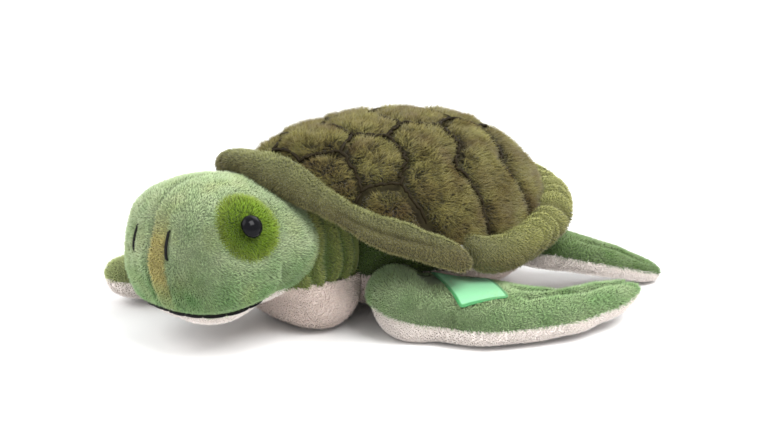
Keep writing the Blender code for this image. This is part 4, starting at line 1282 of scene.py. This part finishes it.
def head_relief(point):
    """The sewn middle line, the eye's seat, the edge of the patch, the mouth's fold and soft lumps."""
    away = from_eye(point)
    middle = -1.1 * MM * dent(point.x, 1.6 * MM) * (1 if point.y < -80 * MM else 0.4)
    seat = -1.6 * MM * dent(away, 8 * MM)
    edge = -0.9 * MM * dent(from_patch(point) - PATCH_RADIUS, 1.5 * MM)
    mouth = -1.6 * MM * dent(point.z - mouth_height(point.y), 2.2 * MM)
    mouth *= smooth_step((-MOUTH_CORNER_FORWARD + 6 * MM - point.y) / (8 * MM)) * 0.7 + 0.3
    cheek_line = abs(point.y + 103 * MM + 0.25 * (point.z - 40 * MM))
    cheek = -1.8 * MM * dent(cheek_line, 1.7 * MM) * smooth_step((50 * MM - point.z) / (10 * MM)) * smooth_step(
        (point.z - 32 * MM) / (6 * MM))
    ahead = smooth_step((-106 * MM - point.y) / (22 * MM))
    crown = 4.8 * MM * dent(math.hypot(point.x, point.y + 120 * MM), 30 * MM) * smooth_step(
        (point.z - 60 * MM) / (14 * MM))
    forehead = -2.6 * MM * dent(math.hypot(point.y + 146 * MM, point.z - 70 * MM), 14 * MM)
    chin = 4.9 * MM * dent(point.z - 17 * MM, 9 * MM) * ahead
    return middle + seat + edge + mouth + cheek + crown + forehead + chin + 0.9 * MM * ripple(point, 22 * MM)


def head_sewn(point):
    return abs(point.x) < 3 * MM or abs(point.z - mouth_height(point.y)) < 3 * MM or from_eye(point) < 6 * MM


HEAD_RISE = blown(head_place, 1.8 * MM, (100, 60), "Y", head_sewn, 1.2 * MM)


def head_skin_relief(point):
    return head_relief(point) + HEAD_RISE(point)


def head_style(point, normal):
    """Pale green, lighter on top as painted light and darker low on the cheeks and towards the neck as painted shade,
    tan beside the middle line at the left nostril, with painted shade along the middle line.
    """
    away = from_patch(point)
    low = smooth_step((54 * MM - point.z) / (24 * MM))
    back = smooth_step((point.y + 130 * MM) / (50 * MM))
    # painted light and shade: mint on top, darker towards leaf and deep green low down and towards the neck
    tone = MINT.lerp(LEAF, min(1, 0.3 + 0.55 * low + 0.3 * ripple(point, 8 * MM))).lerp(DEEP, 0.58 * low * back)
    tone = tone.lerp(STRAW, 0.35 * max(0, ripple(point, 12 * MM, 5)))
    tan = smooth_step(point.x / (1 * MM)) * smooth_step((15 * MM - point.x) / (2 * MM)) * smooth_step(
        (-130 * MM - point.y) / (4 * MM)) * dent(point.z - 50 * MM, 16 * MM)
    tone = tone.lerp(OCHRE, min(0.9, 1.2 * tan))
    middle = dent(point.x, 0.8 * MM)
    # painted shade: darker along the sunken middle seam
    tone = tone.lerp(tone * 0.45, middle)
    lie = Vector((0, 0.55, 0)) + Vector((0.15 * math.copysign(1, point.x), 0, -0.15))
    sewn = max(nostril_share(point), mouth_share(point))
    grown = 0 if away < PATCH_RADIUS - 0.5 * MM or sewn > 0.8 else 1 - 0.5 * middle
    length = 1 - 0.45 * middle - 0.3 * dent(away - PATCH_RADIUS, 2 * MM) - 0.6 * sewn
    return grown, max(0.3, length), lie, tone


def nostril_share(point):
    if point.y > -130 * MM or abs(point.z - NOSTRIL_HEIGHT) > NOSTRIL_LENGTH / 2 + 1 * MM:
        return 0
    return dent(abs(point.x) - NOSTRIL_SPACING / 2, 2.4 * MM)


def mouth_share(point):
    if point.y > -MOUTH_CORNER_FORWARD:
        return 0
    return dent(point.z - mouth_height(point.y), 2.4 * MM)


def jaw_style(point, normal):
    sewn = mouth_share(point)
    return 0 if sewn > 0.8 else 1, 1 - 0.5 * sewn, Vector((0, 0.5, 0)), CREAM * (1 + 0.04 * ripple(point, 10 * MM))


def make_patch(side):
    """The round patch that the eye sits in: a disc of rings laid on the head."""
    shape = bmesh.new()
    bmesh.ops.create_circle(shape, cap_ends=True, segments=64, radius=PATCH_RADIUS + 0.3 * MM)
    rings = 14
    for ring in range(rings):
        bmesh.ops.inset_region(shape, faces=[max(shape.faces, key=lambda face: len(face.verts))],
                               thickness=PATCH_RADIUS / (rings + 1), use_even_offset=True,
                               use_boundary=True)
    cloth = bpy.data.objects[f"head_{side}_cloth"]
    for vertex in shape.verts:
        start = PATCH_FRAMES[side] @ (vertex.co + Vector((0, 0, 30 * MM)))
        _, spot, normal, _ = cloth.ray_cast(start, -PATCH_FRAMES[side].col[2].to_3d())
        vertex.co = spot + normal * 0.4 * MM
    room = PATCH_ROOMS[side]

    def radial(point, normal):
        local = room @ point
        away = math.hypot(local.x, local.y)
        outwards = PATCH_FRAMES[side].to_3x3() @ Vector((local.x, local.y, 0))
        outwards = outwards.normalized() if outwards.length > 0 else Vector()
        tone = LIME.lerp(LIME * 0.6, 0.5 + 0.5 * ripple(point, 5 * MM))
        tone = tone.lerp(STRAW, 0.25 * smooth_step((away - 10 * MM) / (6 * MM)))
        return 0 if from_eye(point) < EYE_RADIUS * 0.8 else 1, 0.9, outwards * 0.7, tone

    skin = sew_skin(f"eye_patch_{side}_cloth", shape, HEAD_PIVOT, None, radial, LIME_PLUSH, "head",
                    [f"eye_patch_{side}"], True)
    grow_pile(skin, 60 + MIRROR[side], 3.6 / MM**2, 3.0 * MM, 0.42 * MM, spread=0.45)


def make_eye(side):
    steps = 16
    profile = [(EYE_RADIUS * math.cos(math.pi / 2 * step / steps), EYE_DOME * math.sin(math.pi / 2 * step / steps))
               for step in range(steps)]
    profile = [(0, -12 * MM), (1.6 * MM, -12 * MM), (1.6 * MM, -1 * MM), (EYE_RADIUS - 0.4 * MM, -0.6 * MM),
               *profile, (0, EYE_DOME)]
    shape = bmesh.new()
    points = [shape.verts.new((radius, 0, height)) for radius, height in profile]
    for one, two in zip(points, points[1:]):
        shape.edges.new((one, two))
    bmesh.ops.spin(shape, geom=shape.verts[:] + shape.edges[:], cent=(0, 0, 0), axis=(0, 0, 1),
                   angle=2 * math.pi, steps=48, use_merge=True)
    bmesh.ops.remove_doubles(shape, verts=shape.verts[:], dist=0.01 * MM)
    shape.transform(EYE_FRAMES[side])
    bmesh.ops.recalc_face_normals(shape, faces=shape.faces[:])
    mesh_data = bpy.data.meshes.new(f"safety_eye_{side}")
    shape.to_mesh(mesh_data)
    shape.free()
    eye = finish_piece(f"safety_eye_{side}", mesh_data, EYE_BLACK, "head", [f"eye_{side}"])
    shape = bmesh.new()
    bmesh.ops.create_cone(shape, cap_ends=True, segments=48, radius1=WASHER_RADIUS, radius2=WASHER_RADIUS * 0.85,
                          depth=WASHER_THICKNESS, matrix=Matrix.Translation((0, 0, -WASHER_DEPTH)))
    shape.transform(EYE_FRAMES[side])
    mesh_data = bpy.data.meshes.new(f"washer_{side}")
    shape.to_mesh(mesh_data)
    shape.free()
    washer = finish_piece(f"washer_{side}", mesh_data, WHITE_WASHER, "head", [f"eye_washer_{side}"])


EYE_BLACK = eye_material()
WHITE_WASHER = washer_material()


def on_head(turn, z, proud):
    """A place on the head's skin at a height, turned to from straight ahead, and its normal."""
    aim = Vector((math.sin(turn), -math.cos(turn), 0))
    start = Vector((HEAD_PIVOT.x, HEAD_PIVOT.y, z)) + aim * 0.1
    best = None
    for name in ("head_left_cloth", "head_right_cloth", "jaw_cloth"):
        hit, spot, normal, _ = bpy.data.objects[name].ray_cast(start, -aim)
        if hit and (best is None or (spot - start).length < (best[0] - start).length):
            best = (spot, normal)
    spot, normal = best
    return spot + normal * proud, normal


def make_face_stitches():
    aside = math.asin(NOSTRIL_SPACING / 2 / HEAD_HALF_WIDTH)
    for side, sign in MIRROR.items():
        paths = []
        for strand in (-0.007, 0.007):
            spots = []
            for step in range(17):
                height = NOSTRIL_HEIGHT + NOSTRIL_LENGTH * (0.5 - step / 16)
                spots.append(on_head(sign * aside + strand, height, 1.4 * MM))
            paths.append(stitch_run(spots, 1.2 * MM))
        floss(f"nostril_{side}_floss", paths, 0.55 * MM, BLACK_THREAD, "head", [f"nostril_stitch_{side}"])
    spots = []
    reach = math.radians(84)
    count = 154
    for step in range(count + 1):
        turn = -reach + 2 * reach * step / count
        spot, _ = on_head(turn, MOUTH_FRONT_HEIGHT + MOUTH_RISE / 2, 0)
        spots.append(on_head(turn, mouth_height(spot.y), 1.3 * MM))
    paths = []
    for start in range(0, count, 14):
        for lift in (-0.35 * MM, 0.35 * MM):
            run = [(point + Vector((0, 0, lift)), outward) for point, outward in spots[start:start + 15]]
            paths.append(stitch_run(run, 0.3 * MM))
    floss("mouth_floss", paths, 0.55 * MM, BLACK_THREAD, "head", ["mouth_stitch"])


def make_head():
    middle, upward = mouth_frame()
    for side, sign in MIRROR.items():
        seams = [(middle, upward), ((0, 0, 0), (sign, 0, 0))]
        skin = form_skin(f"head_{side}_cloth", head_seamed, 1.8 * MM, (160, 110), "Y", seams, head_skin_relief,
                         head_style, GREEN_PLUSH, "head", [f"head_{side}_cover"])
        grow_pile(skin, 50 + MIRROR[side], 3.0 / MM**2, 2.4 * MM, 0.4 * MM)
        make_patch(side)
        make_eye(side)
    jaw = form_skin("jaw_cloth", head_seamed, 1.8 * MM, (160, 110), "Y", [(middle, -upward)], head_skin_relief,
                    jaw_style, WHITE_PLUSH, "head", ["jaw_cover"])
    grow_pile(jaw, 55, 2.5 / MM**2, 1.5 * MM, 0.55 * MM)
    stuffing("head_stuffing", head_place, STUFFING_DEPTH, (40, 24), "Y", "head", ["head_filling"])
    make_face_stitches()
    lean = Matrix.Translation(HEAD_PIVOT) @ Matrix.Rotation(-HEAD_LEAN, 4, "Y") @ Matrix.Translation(-HEAD_PIVOT)
    for piece in bpy.context.scene.objects:
        if piece.get("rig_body") == "head" and piece not in frame["nodes"].values():
            piece.data.transform(lean)


make_head()


# Limbs


CHANNEL_DEPTHS = {"front": 4.2 * MM, "hind": 2.4 * MM}
CHANNELS = {
    "front": (((88.8, 13.6), (93.3, 26.8), (92.5, 46)), ((98.9, 8.6), (104.9, 43), (103, 79))),
    "hind": (((58, 88), (70, 118)),),
}


def from_channel(point, end):
    nearest = 1.0
    for line in CHANNELS[end]:
        for (ax, ay), (bx, by) in zip(line, line[1:]):
            start, run = Vector((ax, ay)) * MM, Vector((bx - ax, by - ay)) * MM
            away = Vector((abs(point.x), point.y)) - start
            share = min(1, max(0, away.dot(run) / run.length_squared))
            nearest = min(nearest, (away - run * share).length)
    return nearest


def make_limb(end, side):
    limb = limb_of(end, side)
    place = mirrored(limb.place, side)
    if end == "front" and side == "left":
        place = root_lifted(place)
    body = f"{end}_{side}_flipper"
    sewn = end == "hind" or side == "left"
    facets = (104, 110) if end == "front" else (72, 72)

    joint = limb.joint * Vector((MIRROR[side], 1, 1))

    def shape_of(point):
        """Where the flipper is fuller than its plain form: high and broad at the left root, broad at the right tip."""
        lumps = 0.9 * MM * ripple(point, 16 * MM)
        if end == "front" and side == "left":
            away = point - joint
            ahead = smooth_step(-(0.4 * away.x + 0.9 * away.y) / (20 * MM))
            notch = 5 * MM * dent((point.to_2d() - Vector((86 * MM, 50 * MM))).length, 7 * MM)
            return lumps - notch + 10.5 * MM * ahead * dent(away.to_2d().length, 46 * MM)
        if end == "front":
            return lumps + 2.5 * MM * smooth_step((-90 * MM - point.y) / (20 * MM))
        return lumps

    def held(point):
        return abs(point.z - joint.z) < 2.5 * MM or (sewn and point.z > joint.z and from_channel(point, end) < 3 * MM)

    rise = blown(place, 1.8 * MM, (70, 70), "Y", held, 1.2 * MM)

    def relief(point):
        crown = rise(point)
        if end == "front":
            crown += 3.5 * MM * dent((point - joint).to_2d().length, 40 * MM) * smooth_step(
                (point.z - joint.z) / (8 * MM))
        channel = CHANNEL_DEPTHS[end] * dent(from_channel(point, end), 2.6 * MM) if sewn else 0
        channel *= 1 - 0.6 * smooth_step((point.y - 55 * MM) / (25 * MM)) * (end == "front")
        return shape_of(point) + crown - channel

    def green_style(point, normal):
        channel = dent(from_channel(point, end), 1.8 * MM) if sewn else 0
        out = (point - joint).normalized()
        tone = LEAF.lerp(MINT, 0.45 + 0.5 * ripple(point, 10 * MM)).lerp(DEEP, max(0, 0.6 * ripple(point, 13 * MM, 7)))
        if end == "hind":
            tone = tone.lerp(DEEP, 0.62)
        elif side == "left":
            # painted light: lighter towards mint near the root
            tone = tone.lerp(LEAF, 0.25).lerp(MINT, 0.6 * dent((point - joint).to_2d().length, 30 * MM))
        if end == "front" and side == "right":
            tone = tone.lerp(MINT, 0.5).lerp(STRAW, 0.5 * smooth_step((-80 * MM - point.y) / (45 * MM)))
        root = (point - joint).to_2d().length < 0.4 * limb.root
        # painted shade: darker towards deep green in the sunken channels
        return 0 if root else 1 - 0.5 * channel, 1 - 0.6 * channel, out * 0.6, tone.lerp(DEEP, 0.8 * channel)

    def white_style(point, normal):
        out = (point - joint).normalized()
        return 1, lying_share(point), out * 0.4, CREAM * (1 + 0.04 * ripple(point, 9 * MM))

    def under_relief(point):
        return shape_of(point) + rise(point)

    top = form_skin(f"{body}_top_cloth", place, 1.8 * MM, facets, "Y", [((0, 0, 0), (0, 0, 1))], relief,
                    green_style, GREEN_PLUSH, body, [f"{body}_top_cover"])
    under = form_skin(f"{body}_under_cloth", place, 1.8 * MM, facets, "Y", [((0, 0, 0), (0, 0, -1))], under_relief,
                      white_style, WHITE_PLUSH, body, [f"{body}_under_cover"])
    seed = 70 + 4 * MIRROR[side] + (20 if end == "hind" else 0)
    grow_pile(top, seed, 2.9 / MM**2, 2.3 * MM, 0.42 * MM)
    grow_pile(under, seed + 2, 2.0 / MM**2, 1.6 * MM, 0.58 * MM)
    depth = min(limb.rise, limb.sink) * LIMB_STUFFING_SHARE
    stuffing(f"{body}_stuffing", place, depth, (36, 24), "Y", body, [f"{body}_filling"])


def make_limbs():
    for end in ("front", "hind"):
        for side in MIRROR:
            make_limb(end, side)


def make_label():
    """A bare satin label with round corners, which lies in a soft wave over the top of the left flipper."""
    limb = limb_of("front", "left")
    point, sideways = limb.at(LABEL_ALONG / limb.length)
    centre = point - sideways * LABEL_INWARD
    angle = math.atan2(sideways.y, sideways.x) + LABEL_TURN
    place = Matrix.Translation(centre) @ Matrix.Rotation(angle, 4, "Z")
    shape = bmesh.new()
    shape.loops.layers.uv.new("label_cloth")
    bmesh.ops.create_grid(shape, x_segments=48, y_segments=32, size=0.5, calc_uvs=True)
    for vertex in shape.verts:
        x, y = vertex.co.x * LABEL_LENGTH, vertex.co.y * LABEL_WIDTH
        inner = Vector((LABEL_LENGTH / 2 - LABEL_CORNER, LABEL_WIDTH / 2 - LABEL_CORNER))
        over = Vector((max(0, abs(x) - inner.x), max(0, abs(y) - inner.y)))
        if over.x > 0 and over.y > 0:
            over *= max(over.x, over.y) / over.length
            x, y = math.copysign(inner.x + over.x, x), math.copysign(inner.y + over.y, y)
        spot = place @ Vector((x, y, 0))
        found = height_on(("front_left_flipper_top_cloth",), spot.x, spot.y)
        height = found[0].z if found else limb.joint.z
        spot.z = height + 1.9 * MM + 0.35 * MM * math.sin(x / (5 * MM) + y / (8 * MM))
        vertex.co = spot
    bmesh.ops.smooth_vert(shape, verts=shape.verts[:], factor=0.5, use_axis_z=True)
    shape.normal_update()
    lining = bmesh.ops.extrude_face_region(shape, geom=shape.faces[:], use_keep_orig=True)
    for item in lining["geom"]:
        if isinstance(item, bmesh.types.BMVert):
            item.co.z -= 0.5 * MM
    bmesh.ops.recalc_face_normals(shape, faces=shape.faces[:])
    mesh_data = bpy.data.meshes.new("bare_label")
    shape.to_mesh(mesh_data)
    shape.free()
    label = finish_piece("bare_label", mesh_data, satin_material(), "front_left_flipper", ["satin_label"])


make_limbs()
make_label()
